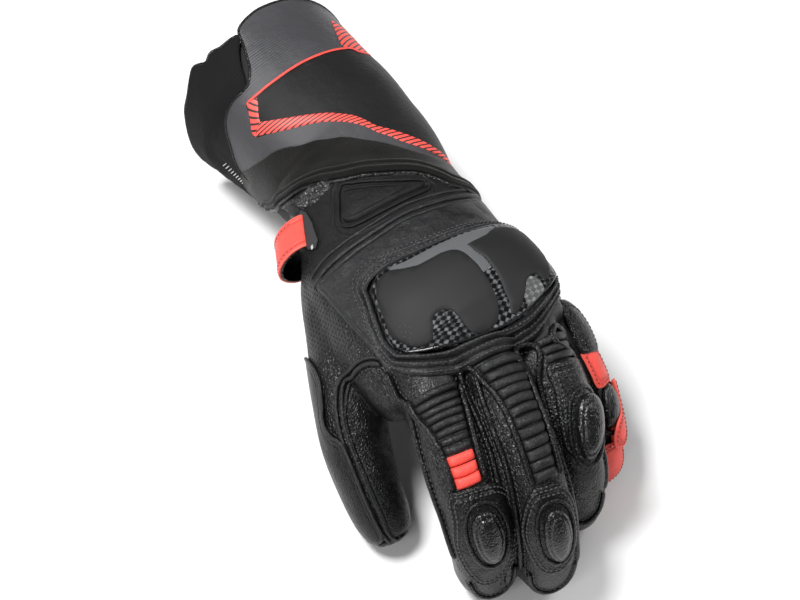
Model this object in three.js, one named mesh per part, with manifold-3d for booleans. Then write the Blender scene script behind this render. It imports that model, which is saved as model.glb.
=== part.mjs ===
// A left-hand leather motorcycle glove with a long gauntlet cuff, lying palm down in its curved form.
// Millimetres, +Z up. The fingers point to -Y, the cuff opens to +Y and the thumb is on the -X side.
// The leather walls are hollow tubes swept through short tables of sections. Every pad, panel and strip is a
// patch laid on one of those tubes, and is trimmed so that it clears what lies under it.
import * as THREE from "three";
import { mergeVertices } from "three/addons/utils/BufferGeometryUtils.js";
import Module from "manifold-3d";

const wasm = await Module();
wasm.setup();

// Driving dimensions
const wall = 1.8; // leather with its lining
const gap = 0.3; // between pieces that touch on the real glove
const sideGap = 0.7; // between the edges of neighbouring patches
const panel = 1.6; // height of a leather or textile overlay above the wall, gap included
const bed = -1; // lower limit of an overlay, below the wall's surface, where the covers trim it
const pad = 2.6; // height of the sliders, the strap keeper and the suede band
const padSwell = 2.2; // what a slider's middle rises above that
const ribHeight = 1.2; // folds of the stretch panels
const guardBed = 0.5; // lower limit of the guard and of its rim
const guardEdge = 4.6; // height of the knuckle guard's edge above the hand
const guardDome = 3; // what its middle rises above that
const guardRim = 3.6; // height of the padded rim round the guard
const plate = 1; // thickness of the matt plates on the guard
const plateBed = 3; // lower limit of the plates, inside the guard
const notchTop = 14; // past the top of the guard and its plates
const flap = 3.6; // height of the cuff's closure flap
const strap = 2; // height of the wrist strap and its tab
const tabArch = 10; // height of the tab's loop
const ringSides = 22; // facets round the hand and the cuff
const fingerSides = 14; // facets round a finger
const openingReach = 6; // how far a hollow is carried past an open end
const tipShare = 0.97; // share of a finger's rows that is hollow
const coverDepth = 4; // how far a layer's cover reaches below it

// Sections from the wrist to the knuckles: centre, half width across, half height, squareness (2 is an
// ellipse) and roll, in degrees, which lowers the little finger's side. The last row only carries the guard.
const handSections = [
  { x: 8, y: 56, z: 47, across: 38, high: 31, square: 2.2, roll: 0 },
  { x: 6, y: 38, z: 49, across: 37, high: 28, square: 2.2, roll: 2 },
  { x: 4, y: 12, z: 53, across: 42, high: 27, square: 2.3, roll: 5 },
  { x: 2.5, y: -14, z: 57, across: 44.5, high: 27, square: 2.4, roll: 8 },
  { x: 4, y: -38, z: 60.5, across: 45, high: 25.5, square: 2.5, roll: 10 },
  { x: 6.5, y: -54, z: 61.5, across: 44.5, high: 22, square: 2.5, roll: 11 },
  { x: 8, y: -66, z: 61, across: 43, high: 19.5, square: 2.5, roll: 11 },
  { x: 10, y: -80, z: 56, across: 44, high: 19, square: 2.5, roll: 11 },
];
const handEnd = 0.82; // share of the hand's rows that its leather takes up

// The sleeve of the cuff, from its open end to the wrist
const cuffSections = [
  { x: -10, y: 131, z: 44, across: 42.5, high: 43.5, square: 2.2, roll: 0 },
  { x: -5.3, y: 112, z: 46.5, across: 41.8, high: 38.5, square: 2.2, roll: 0 },
  { x: 0.5, y: 92, z: 47, across: 40.5, high: 35, square: 2.2, roll: 0 },
  { x: 5, y: 72, z: 47, across: 39.2, high: 32.5, square: 2.2, roll: 0 },
  { x: 7.8, y: 56.4, z: 47, across: 38, high: 31, square: 2.2, roll: 0 },
];

// Each finger from inside the hand, over its middle knuckle, to its tip on the table
const fingerSections = {
  index: [
    { x: -15, y: -40, z: 67, across: 13, high: 15, square: 2.4, roll: 4 },
    { x: -17, y: -70, z: 66, across: 13, high: 15, square: 2.4, roll: 0 },
    { x: -18, y: -90, z: 62, across: 13, high: 14.5, square: 2.4, roll: 0 },
    { x: -18.5, y: -107, z: 54, across: 13.2, high: 14.5, square: 2.4, roll: 0 },
    { x: -18, y: -119, z: 42, across: 13.2, high: 14.5, square: 2.4, roll: 0 },
    { x: -17.5, y: -125, z: 28, across: 12.8, high: 13.5, square: 2.3, roll: 0 },
    { x: -17, y: -127, z: 15, across: 12, high: 12, square: 2.2, roll: 0 },
    { x: -17, y: -127, z: 6, across: 9.5, high: 9.5, square: 2.1, roll: 0 },
    { x: -17, y: -126.5, z: 1, across: 4.5, high: 4.5, square: 2, roll: 0 },
  ],
  middle: [
    { x: 8, y: -40, z: 70, across: 12.5, high: 15, square: 2.4, roll: 6 },
    { x: 8.5, y: -70, z: 70, across: 12.5, high: 15, square: 2.4, roll: 4 },
    { x: 8, y: -92, z: 66, across: 12.5, high: 14.5, square: 2.4, roll: 4 },
    { x: 8, y: -111, z: 58, across: 12.5, high: 14.5, square: 2.4, roll: 4 },
    { x: 7.5, y: -125, z: 45, across: 12.5, high: 14.5, square: 2.4, roll: 4 },
    { x: 7, y: -132, z: 30, across: 12.2, high: 13.5, square: 2.3, roll: 4 },
    { x: 6.5, y: -134.5, z: 16, across: 11.6, high: 12, square: 2.2, roll: 4 },
    { x: 6.5, y: -134.5, z: 6, across: 9.2, high: 9.5, square: 2.1, roll: 4 },
    { x: 6.5, y: -134, z: 1, across: 4.5, high: 4.5, square: 2, roll: 4 },
  ],
  ring: [
    { x: 30, y: -36, z: 65, across: 12, high: 14.5, square: 2.4, roll: 14 },
    { x: 33, y: -64, z: 64, across: 12, high: 14.5, square: 2.4, roll: 14 },
    { x: 33, y: -84, z: 58, across: 12, high: 14, square: 2.4, roll: 14 },
    { x: 32.5, y: -99, z: 49, across: 12, high: 14, square: 2.4, roll: 14 },
    { x: 31.5, y: -109, z: 37, across: 12, high: 13.5, square: 2.4, roll: 14 },
    { x: 30.5, y: -114, z: 25, across: 11.6, high: 13, square: 2.3, roll: 12 },
    { x: 30, y: -116, z: 14, across: 11, high: 11.5, square: 2.2, roll: 10 },
    { x: 30, y: -116, z: 7, across: 9, high: 9, square: 2.1, roll: 10 },
    { x: 30, y: -115.5, z: 2, across: 4.5, high: 4.5, square: 2, roll: 10 },
  ],
  little: [
    { x: 38, y: -28, z: 52, across: 10, high: 11, square: 2.4, roll: 20 },
    { x: 50.5, y: -54, z: 50.5, across: 10.3, high: 12.5, square: 2.4, roll: 22 },
    { x: 52, y: -68, z: 44, across: 10.2, high: 12.3, square: 2.4, roll: 24 },
    { x: 51.8, y: -81, z: 35.5, across: 10.2, high: 12.3, square: 2.4, roll: 24 },
    { x: 50.8, y: -91, z: 27, across: 10.2, high: 12, square: 2.4, roll: 22 },
    { x: 51, y: -97, z: 18, across: 9.8, high: 11.5, square: 2.3, roll: 20 },
    { x: 50.5, y: -99, z: 11, across: 9, high: 9.5, square: 2.2, roll: 20 },
    { x: 50, y: -99.5, z: 5.5, across: 7, high: 7, square: 2.1, roll: 20 },
    { x: 50, y: -99, z: 2, across: 4, high: 4, square: 2, roll: 20 },
  ],
  thumb: [
    { x: -14, y: 26, z: 46, across: 17, high: 20, square: 2.2, roll: 0 },
    { x: -24, y: 4, z: 45, across: 18, high: 20, square: 2.2, roll: 0 },
    { x: -33.2, y: -20, z: 43, across: 16.4, high: 18, square: 2.2, roll: 0 },
    { x: -41, y: -42, z: 38, across: 14.3, high: 16, square: 2.2, roll: 0 },
    { x: -45.5, y: -60, z: 31, across: 13.3, high: 15, square: 2.2, roll: 0 },
    { x: -46.6, y: -76, z: 22, across: 11.8, high: 14, square: 2.2, roll: 0 },
    { x: -45.8, y: -87, z: 14, across: 10.8, high: 12.5, square: 2.2, roll: 0 },
    { x: -45, y: -94, z: 9.5, across: 8.6, high: 9, square: 2.1, roll: 0 },
    { x: -44.5, y: -98, z: 7, across: 4.5, high: 4.5, square: 2, roll: 0 },
  ],
};
// Where each finger is sewn to the hand, as a share of its rows
const fingerSeams = { index: 0.16, middle: 0.16, ring: 0.16, little: 0.2, thumb: 0.28 };

// A tube through a table of sections. along runs 0 to 1 through the rows and angle in degrees round the
// section, 0 on the little finger's side and 90 on the back.
class Tube {
  constructor(sections) {
    this.sections = sections;
    this.path = new THREE.CatmullRomCurve3(
      sections.map((row) => new THREE.Vector3(row.x, row.y, row.z)),
      false,
      "centripetal",
    );
  }

  sizeAt(name, along) {
    const spot = THREE.MathUtils.clamp(along, 0, 1) * (this.sections.length - 1);
    const row = Math.min(Math.floor(spot), this.sections.length - 2);
    return THREE.MathUtils.lerp(this.sections[row][name], this.sections[row + 1][name], spot - row);
  }

  frameAt(along) {
    const inside = THREE.MathUtils.clamp(along, 0, 1);
    const centre = this.path.getPoint(inside);
    const forward = this.path.getTangent(inside);
    centre.addScaledVector(forward, (along - inside) * this.path.getLength());
    const side = new THREE.Vector3(1, 0, 0).addScaledVector(forward, -forward.x).normalize();
    side.applyAxisAngle(forward, THREE.MathUtils.degToRad(this.sizeAt("roll", along)));
    const up = new THREE.Vector3().crossVectors(forward, side);
    return { centre, forward, side, up };
  }

  point(along, angle, offset = 0) {
    const { centre, side, up } = this.frameAt(along);
    const power = 2 / this.sizeAt("square", along);
    const turn = THREE.MathUtils.degToRad(angle);
    const bulge = (value) => Math.sign(value) * Math.abs(value) ** power;
    const least = 0.8;
    const across = Math.max(this.sizeAt("across", along) + offset, least);
    const high = Math.max(this.sizeAt("high", along) + offset, least);
    centre.addScaledVector(side, across * bulge(Math.cos(turn)));
    return centre.addScaledVector(up, high * bulge(Math.sin(turn)));
  }

  // The closed solid between two places along the tube, moved outwards by offset and carried straight on
  // past its start by reachBack and past its end by reachOn
  solid(from, to, steps, sides, offset = 0, reachBack = 0, reachOn = 0) {
    const rings = [];
    for (let step = 0; step <= steps; step++) {
      const along = THREE.MathUtils.lerp(from, to, step / steps);
      rings.push(Array.from({ length: sides }, (_, i) => this.point(along, (360 * i) / sides, offset)));
    }
    if (reachBack) {
      const back = this.frameAt(from).forward.multiplyScalar(-reachBack);
      rings.unshift(rings[0].map((p) => p.clone().add(back)));
    }
    if (reachOn) {
      const on = this.frameAt(to).forward.multiplyScalar(reachOn);
      rings.push(rings[rings.length - 1].map((p) => p.clone().add(on)));
    }
    return solidOfRings(rings);
  }
}

function solidOfMesh(positions, triangles) {
  let geometry = new THREE.BufferGeometry();
  geometry.setAttribute("position", new THREE.Float32BufferAttribute(positions, 3));
  geometry.setIndex(triangles);
  geometry = mergeVertices(geometry, 1e-4);
  return new wasm.Manifold(
    new wasm.Mesh({
      numProp: 3,
      vertProperties: geometry.attributes.position.array,
      triVerts: new Uint32Array(geometry.index.array),
    }),
  );
}

// Rings of equal length, each a loop round the same direction, joined and closed with flat ends
function solidOfRings(rings) {
  const count = rings[0].length;
  const positions = rings.flat().flatMap((p) => [p.x, p.y, p.z]);
  const triangles = [];
  for (let r = 0; r < rings.length - 1; r++) {
    for (let i = 0; i < count; i++) {
      const a = r * count + i;
      const b = r * count + ((i + 1) % count);
      triangles.push(a, b, b + count, a, b + count, a + count);
    }
  }
  for (const [ring, flip] of [[0, true], [rings.length - 1, false]]) {
    const middle = rings[ring].reduce((sum, p) => sum.add(p), new THREE.Vector3()).divideScalar(count);
    const centre = positions.length / 3;
    positions.push(middle.x, middle.y, middle.z);
    for (let i = 0; i < count; i++) {
      const a = ring * count + i;
      const b = ring * count + ((i + 1) % count);
      triangles.push(...(flip ? [b, a, centre] : [a, b, centre]));
    }
  }
  return solidOfMesh(positions, triangles);
}

// A patch on a tube. Each row [along, from, to] gives its outline, in degrees round the tube, or a row
// [[along, angle], [along, angle]] gives both of its ends. The patch lies between the offsets low and high.
// rise(along, angle) lifts its top, swell domes it like a pad, ribs raise rounded folds across it and arch
// lifts the whole strip off the tube between its two ends.
function patchSolid(tube, rows, low, high, options = {}) {
  const { columns = 8, steps = 8, rise = () => 0, swell = 0, ribs = 0, arch = 0 } = options;
  const ends = rows.map((row) => (row.length === 3 ? [row[0], row[1], row[0], row[2]] : row.flat()));
  const endsAt = (share) => {
    const place = share * (ends.length - 1);
    const row = Math.min(Math.floor(place), ends.length - 2);
    return ends[row].map((value, i) => THREE.MathUtils.lerp(value, ends[row + 1][i], place - row));
  };
  const positions = [];
  for (const top of [true, false]) {
    for (let row = 0; row <= steps; row++) {
      const down = row / steps;
      const [along0, angle0, along1, angle1] = endsAt(down);
      const fold = top ? ribHeight * Math.abs(Math.sin(Math.PI * ribs * down)) : 0;
      for (let column = 0; column <= columns; column++) {
        const over = column / columns;
        const along = THREE.MathUtils.lerp(along0, along1, over);
        const angle = THREE.MathUtils.lerp(angle0, angle1, over);
        const dome = swell * Math.sqrt(Math.max(0, Math.sin(Math.PI * over) * Math.sin(Math.PI * down)));
        const lift = arch * Math.sin(Math.PI * over);
        const p = tube.point(along, angle, lift + (top ? high + dome + fold + rise(along, angle) : low));
        positions.push(p.x, p.y, p.z);
      }
    }
  }
  return solidOfMesh(positions, slabTriangles(columns, steps));
}

// Triangles of a slab of two grids, the top grid's corners first, wound to face outwards
function slabTriangles(columns, steps) {
  const width = columns + 1;
  const upper = (row, column) => row * width + column;
  const lower = (row, column) => (steps + 1) * width + row * width + column;
  const triangles = [];
  const face = (a, b, c, d) => triangles.push(a, b, c, a, c, d);
  for (let row = 0; row < steps; row++) {
    const next = row + 1;
    for (let column = 0; column < columns; column++) {
      face(upper(row, column), upper(row, column + 1), upper(next, column + 1), upper(next, column));
      face(lower(row, column), lower(next, column), lower(next, column + 1), lower(row, column + 1));
    }
    face(lower(row, 0), upper(row, 0), upper(next, 0), lower(next, 0));
    face(lower(row, columns), lower(next, columns), upper(next, columns), upper(row, columns));
  }
  for (let column = 0; column < columns; column++) {
    const beside = column + 1;
    face(lower(0, column), lower(0, beside), upper(0, beside), upper(0, column));
    face(lower(steps, column), upper(steps, column), upper(steps, beside), lower(steps, beside));
  }
  return triangles;
}

const glove = new THREE.Group();
const covers = []; // every solid already placed, grown by the gap, which later pieces are cut to clear

function cleared(solid, others = covers) {
  return others.reduce((rest, cover) => rest.subtract(cover), solid);
}

// Adds the largest body of a solid as a named piece
function addPiece(name, solid, look) {
  const largest = solid.decompose().sort((a, b) => b.volume() - a.volume())[0];
  const mesh = largest.getMesh();
  const geometry = new THREE.BufferGeometry();
  geometry.setAttribute("position", new THREE.BufferAttribute(new Float32Array(mesh.vertProperties), 3));
  geometry.setIndex(new THREE.BufferAttribute(new Uint32Array(mesh.triVerts), 1));
  const piece = new THREE.Mesh(geometry, new THREE.MeshStandardMaterial(look));
  piece.name = name;
  glove.add(piece);
}

// Lays a patch on what is already there and keeps its cover for the pieces that come after it
function layPatch(name, tube, rows, low, high, look, options = {}) {
  const patch = patchSolid(tube, rows, low, high, options);
  addPiece(name, cleared(options.cut ? patch.subtract(options.cut) : patch), look);
  covers.push(patchSolid(tube, grown(tube, rows), low - coverDepth, high + gap, options));
}

// The outline of a patch moved outwards on every side by the gap between neighbours
function grown(tube, rows) {
  const turn = THREE.MathUtils.radToDeg(sideGap / tube.sections[2].across);
  const share = sideGap / tube.path.getLength();
  const last = rows.length - 1;
  return rows.map((row, i) => {
    const outward = (2 * i) / last - 1;
    if (row.length === 3) return [row[0] + share * outward, row[1] - turn, row[2] + turn];
    const spin = -turn * outward;
    const [[along0, angle0], [along1, angle1]] = row;
    return [[along0 - share, angle0 + spin], [along1 + share, angle1 + spin]];
  });
}

const leather = { color: 0x1c1c1e, roughness: 0.5 };
const smoothLeather = { color: 0x202023, roughness: 0.42 };
const redLeather = { color: 0xf0564f, roughness: 0.5 };
const suede = { color: 0x171615, roughness: 0.95 };
const textile = { color: 0x48494d, roughness: 0.85 };
const lining = { color: 0x131313, roughness: 0.9 };
const carbon = { color: 0x2c2d30, roughness: 0.18 };
const mattPlastic = { color: 0x3c3d40, roughness: 0.6 };

const hand = new Tube(handSections);
const cuff = new Tube(cuffSections);
const arm = new Tube([...cuffSections.slice(0, -1), ...handSections]); // carries what crosses the wrist
const fingers = {};
for (const [name, rows] of Object.entries(fingerSections)) fingers[name] = new Tube(rows);

// The body of the hand with a stub for each finger, as a solid moved outwards by offset. An open one is
// carried on past the wrist and the finger seams, to cut the hollow.
function handSolid(offset, open = false) {
  const reach = open ? openingReach : offset;
  const end = handEnd + offset / hand.path.getLength();
  let solid = hand.solid(0, end, 7, ringSides, offset, reach);
  for (const [name, tube] of Object.entries(fingers)) {
    const seam = fingerSeams[name] - gap / tube.path.getLength();
    solid = solid.add(tube.solid(0, seam, 2, fingerSides, offset, Math.max(offset, 0), reach));
  }
  return solid;
}

addPiece("hand_shell", handSolid(0).subtract(handSolid(-wall, true)), leather);
covers.push(handSolid(gap));

for (const [name, tube] of Object.entries(fingers)) {
  const start = fingerSeams[name] + gap / tube.path.getLength();
  const outer = tube.solid(start, 1, 9, fingerSides);
  const inner = tube.solid(start, tipShare, 8, fingerSides, -wall, openingReach);
  addPiece(name === "thumb" ? "thumb" : `finger_${name}`, cleared(outer.subtract(inner)), leather);
  covers.push(tube.solid(start, 1, 9, fingerSides, gap, gap, gap));
}

const beyondWrist = hand.solid(0, 0.2, 2, ringSides, openingReach, gap);
const cuffHollow = cuff.solid(0, 1, 5, ringSides, -wall, openingReach, openingReach);
addPiece("cuff_inner", cuff.solid(0, 1, 5, ringSides).subtract(cuffHollow).subtract(beyondWrist), lining);
covers.push(cuff.solid(0, 1, 5, ringSides, gap, gap, gap));

// Back of the hand: a smooth panel, the guard on it with two matt plates, and the padded rim round the guard
const guardRise = (along, angle) => {
  const down = Math.abs((along - 0.64) / 0.18);
  const over = Math.abs((angle - 64) / 56);
  return guardDome * Math.max(0, 1 - down ** 3) * Math.max(0, 1 - over ** 3);
};
layPatch("back_panel", hand, [
  [0.35, 60, 92], [0.365, 34, 108], [0.385, 14, 134], [0.43, 4, 143], [0.5, 0, 138],
  [0.58, -2, 133], [0.66, -2, 130], [0.74, 2, 125], [0.8, 14, 120],
], bed, panel, smoothLeather, { columns: 10, steps: 7 });
layPatch("knuckle_guard", hand, [
  [0.462, 26, 104], [0.478, 16, 112], [0.51, 12, 117], [0.56, 10, 120], [0.62, 9, 122],
  [0.68, 13, 119], [0.73, 25, 113], [0.77, 38, 104], [0.8, 52, 97], [0.822, 66, 90],
], guardBed, guardEdge, carbon, { columns: 9, steps: 9, rise: guardRise });
const notch = patchSolid(hand, [
  [0.655, 90, 96], [0.7, 88.5, 101], [0.78, 87, 108], [0.84, 86, 112],
], guardBed, notchTop);
layPatch("guard_plate_large", hand, [
  [0.474, 97, 103], [0.492, 86, 111], [0.51, 77, 115], [0.55, 73, 118], [0.61, 71, 120],
  [0.66, 72, 117], [0.7, 74, 112], [0.74, 76, 105], [0.78, 78, 98], [0.806, 81, 89],
], plateBed, guardEdge + gap + plate, mattPlastic, { columns: 6, steps: 8, rise: guardRise, cut: notch });
layPatch("guard_plate_small", hand, [
  [0.486, 19, 40], [0.5, 16, 52], [0.515, 15, 68], [0.56, 13, 67], [0.61, 12, 65], [0.65, 15, 66],
  [0.67, 26, 67], [0.7, 35, 68], [0.74, 42, 69], [0.78, 54, 70], [0.806, 64, 71],
], plateBed, guardEdge + gap + plate, mattPlastic, { columns: 5, steps: 8, rise: guardRise });
layPatch("guard_rim", hand, [
  [0.405, 20, 100], [0.415, 10, 116], [0.45, 2, 125], [0.52, -2, 129], [0.6, -2, 132], [0.68, 0, 131],
  [0.76, 8, 126], [0.81, 22, 120], [0.845, 38, 112], [0.865, 60, 98],
], guardBed, guardRim, smoothLeather, { columns: 10, steps: 9 });

// Wrist and cuff
layPatch("wrist_pad", hand, [
  [0.19, 106, 113], [0.205, 99, 114], [0.222, 91, 115], [0.245, 76, 115], [0.262, 64, 116],
  [0.28, 63, 116], [0.295, 80, 115], [0.308, 94, 112],
], bed, panel, smoothLeather, { columns: 5, steps: 5, swell: 2 });
layPatch("wrist_gusset", hand, [
  [0.12, 124, 142], [0.15, 119, 142], [0.19, 124, 136],
], bed, 1, lining, { columns: 4, steps: 10, ribs: 5 });
layPatch("strap_keeper", hand, [
  [0.13, 145, 159], [0.2, 139, 154], [0.295, 138, 150],
], bed, pad, textile, { columns: 3, steps: 4 });
layPatch("strap_tab", hand, [
  [0.158, 150, 206], [0.24, 147, 203],
], 0.4, strap, redLeather, { columns: 10, steps: 2, arch: tabArch });
layPatch("wrist_strap", hand, [
  [0.158, 208, 335], [0.24, 205, 335],
], bed, strap, leather, { columns: 14, steps: 2 });
layPatch("cuff_band", arm, [
  [[0.205, 200], [0.25, 214]], [[0.205, 176], [0.262, 200]], [[0.25, 146], [0.33, 168]],
  [[0.3, 120], [0.41, 141]], [[0.355, 99], [0.452, 116]], [[0.4, 82], [0.475, 90]],
  [[0.428, 60], [0.493, 60]], [[0.44, 36], [0.52, 34]], [[0.44, 10], [0.53, 10]], [[0.43, -16], [0.52, -16]],
], bed, pad, suede, { columns: 2, steps: 14 });
layPatch("gauntlet_panel", arm, [
  [[0.17, 176], [0.196, 176]], [[0.118, 152], [0.238, 150]], [[0.104, 124], [0.285, 122]],
  [[0.016, 104], [0.34, 101]], [[0.008, 82], [0.39, 83]], [[0.01, 60], [0.42, 60]],
  [[0.02, 38], [0.43, 36]], [[0.04, 10], [0.43, 10]], [[0.06, -20], [0.42, -18]],
], bed, panel, textile, { columns: 5, steps: 10 });
layPatch("closure_flap", cuff, [
  [0.012, 128, 225], [0.19, 130, 235], [0.29, 142, 240], [0.38, 160, 240], [0.46, 176, 236],
], bed, flap, leather, { columns: 7, steps: 4 });

// Fingers: folded stretch panels, stitched patches and the padded ovals on them
const { index, middle, ring, little, thumb } = fingers;
layPatch("accordion_index", index, [
  [0.168, 57, 137], [0.19, 57, 134], [0.22, 64, 121], [0.25, 68, 116], [0.302, 73, 113],
], bed, 1, smoothLeather, { columns: 3, steps: 16, ribs: 8 });
layPatch("accordion_index_red", index, [
  [0.306, 74, 113], [0.378, 76, 115],
], bed, 1, redLeather, { columns: 3, steps: 6, ribs: 3 });
layPatch("accordion_middle", middle, [
  [0.168, 26, 112], [0.19, 32, 105], [0.215, 38, 98], [0.27, 41, 96], [0.35, 50, 96], [0.42, 59, 99],
], bed, 1, smoothLeather, { columns: 3, steps: 24, ribs: 12 });
layPatch("accordion_ring", ring, [
  [0.168, 12, 88], [0.205, 14, 84],
], bed, 1, smoothLeather, { columns: 3, steps: 6, ribs: 3 });

layPatch("slider_base_index", index, [
  [0.385, 72, 117], [0.42, 64, 138], [0.46, 48, 152], [0.52, 30, 170], [0.58, 24, 172],
  [0.64, 30, 158], [0.7, 42, 132], [0.735, 60, 108],
], bed, panel, leather, { columns: 6, steps: 6 });
layPatch("slider_index", index, [
  [0.43, 84, 98], [0.437, 78, 108], [0.46, 70, 114], [0.5, 69, 116], [0.54, 74, 114],
  [0.565, 82, 107], [0.573, 88, 101],
], 0.5, pad, leather, { columns: 5, steps: 6, swell: padSwell });
layPatch("slider_base_middle", middle, [
  [0.428, 62, 102], [0.46, 50, 120], [0.51, 44, 146], [0.57, 38, 154], [0.62, 42, 150],
  [0.68, 58, 126], [0.71, 72, 110],
], bed, panel, leather, { columns: 6, steps: 6 });
layPatch("slider_middle", middle, [
  [0.472, 80, 92], [0.479, 73, 100], [0.5, 66, 105], [0.54, 65, 107], [0.58, 71, 105],
  [0.605, 79, 98], [0.615, 85, 93],
], 0.5, pad, leather, { columns: 5, steps: 6, swell: padSwell });
layPatch("slider_base_ring", ring, [
  [0.215, 12, 84], [0.25, 6, 92], [0.33, 2, 104], [0.39, 18, 110], [0.43, 46, 108], [0.45, 60, 100],
], bed, panel, leather, { columns: 6, steps: 6 });
layPatch("slider_ring", ring, [
  [0.305, 36, 56], [0.315, 22, 70], [0.34, 13, 79], [0.38, 26, 84], [0.415, 47, 84], [0.435, 62, 80],
], 0.5, pad, leather, { columns: 5, steps: 6, swell: padSwell });
layPatch("little_panel_red", little, [
  [0.235, 16, 66], [0.27, 4, 64], [0.31, -2, 60], [0.345, -4, 56],
], bed, panel, redLeather, { columns: 5, steps: 4 });
layPatch("little_slider", little, [
  [0.355, 2, 38], [0.38, -8, 46], [0.42, -12, 54], [0.46, -6, 60], [0.49, 10, 62],
], bed, panel, leather, { columns: 5, steps: 5, swell: 1.4 });
layPatch("little_tip_red", little, [
  [0.6, 36, 74], [0.66, 34, 92], [0.74, 34, 98], [0.82, 38, 96], [0.87, 50, 84],
], bed, panel, redLeather, { columns: 5, steps: 5 });

layPatch("thumb_panel_outer", thumb, [
  [0.3, 162, 205], [0.33, 141, 215], [0.37, 136, 222], [0.446, 147, 226], [0.49, 133, 226],
  [0.54, 121, 226], [0.633, 117, 226], [0.742, 117, 226], [0.85, 121, 220], [0.92, 140, 205],
], bed, panel, smoothLeather, { columns: 5, steps: 9 });
layPatch("thumb_panel_inner", thumb, [
  [0.345, 0, 76], [0.37, -20, 92], [0.417, -30, 102], [0.463, -34, 106], [0.525, -36, 103],
  [0.613, -36, 104], [0.75, -36, 102], [0.85, -20, 106], [0.92, 20, 90],
], bed, panel, smoothLeather, { columns: 6, steps: 9 });
layPatch("palm_panel", hand, [
  [0.34, 225, 318], [0.45, 215, 325], [0.6, 212, 328], [0.72, 214, 326], [0.78, 222, 320],
], bed, panel, leather, { columns: 6, steps: 4 });

const bounds = new THREE.Box3().setFromObject(glove);
glove.position.set(-(bounds.min.x + bounds.max.x) / 2, -(bounds.min.y + bounds.max.y) / 2, -bounds.min.z);

export default glove;
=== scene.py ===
import math

import bpy
import numpy as np
from mathutils import Matrix, Vector, noise
from mathutils.bvhtree import BVHTree


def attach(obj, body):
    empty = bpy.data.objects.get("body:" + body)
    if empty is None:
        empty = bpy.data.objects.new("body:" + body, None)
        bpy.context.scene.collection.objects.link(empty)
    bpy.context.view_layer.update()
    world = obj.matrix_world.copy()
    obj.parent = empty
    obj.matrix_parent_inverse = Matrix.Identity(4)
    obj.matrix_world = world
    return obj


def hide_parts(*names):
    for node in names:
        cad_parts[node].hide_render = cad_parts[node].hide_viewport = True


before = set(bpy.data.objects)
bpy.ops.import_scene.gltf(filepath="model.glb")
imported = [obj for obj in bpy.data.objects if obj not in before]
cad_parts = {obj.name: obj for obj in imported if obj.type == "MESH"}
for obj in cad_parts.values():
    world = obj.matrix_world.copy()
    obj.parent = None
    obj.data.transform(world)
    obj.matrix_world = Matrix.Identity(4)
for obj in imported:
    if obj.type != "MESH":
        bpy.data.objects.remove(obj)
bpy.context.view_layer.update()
print("frame loaded")

# The glove's own measures are in millimetres, as in the CAD, and become metres when a piece is placed.
# The shift takes the places in the tables below to the row's frame.
metre = 0.001
cadShift = np.array([-1.5233, 2.6009, -0.5574])
pathSteps = 500
leastRadius = 0.8

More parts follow.
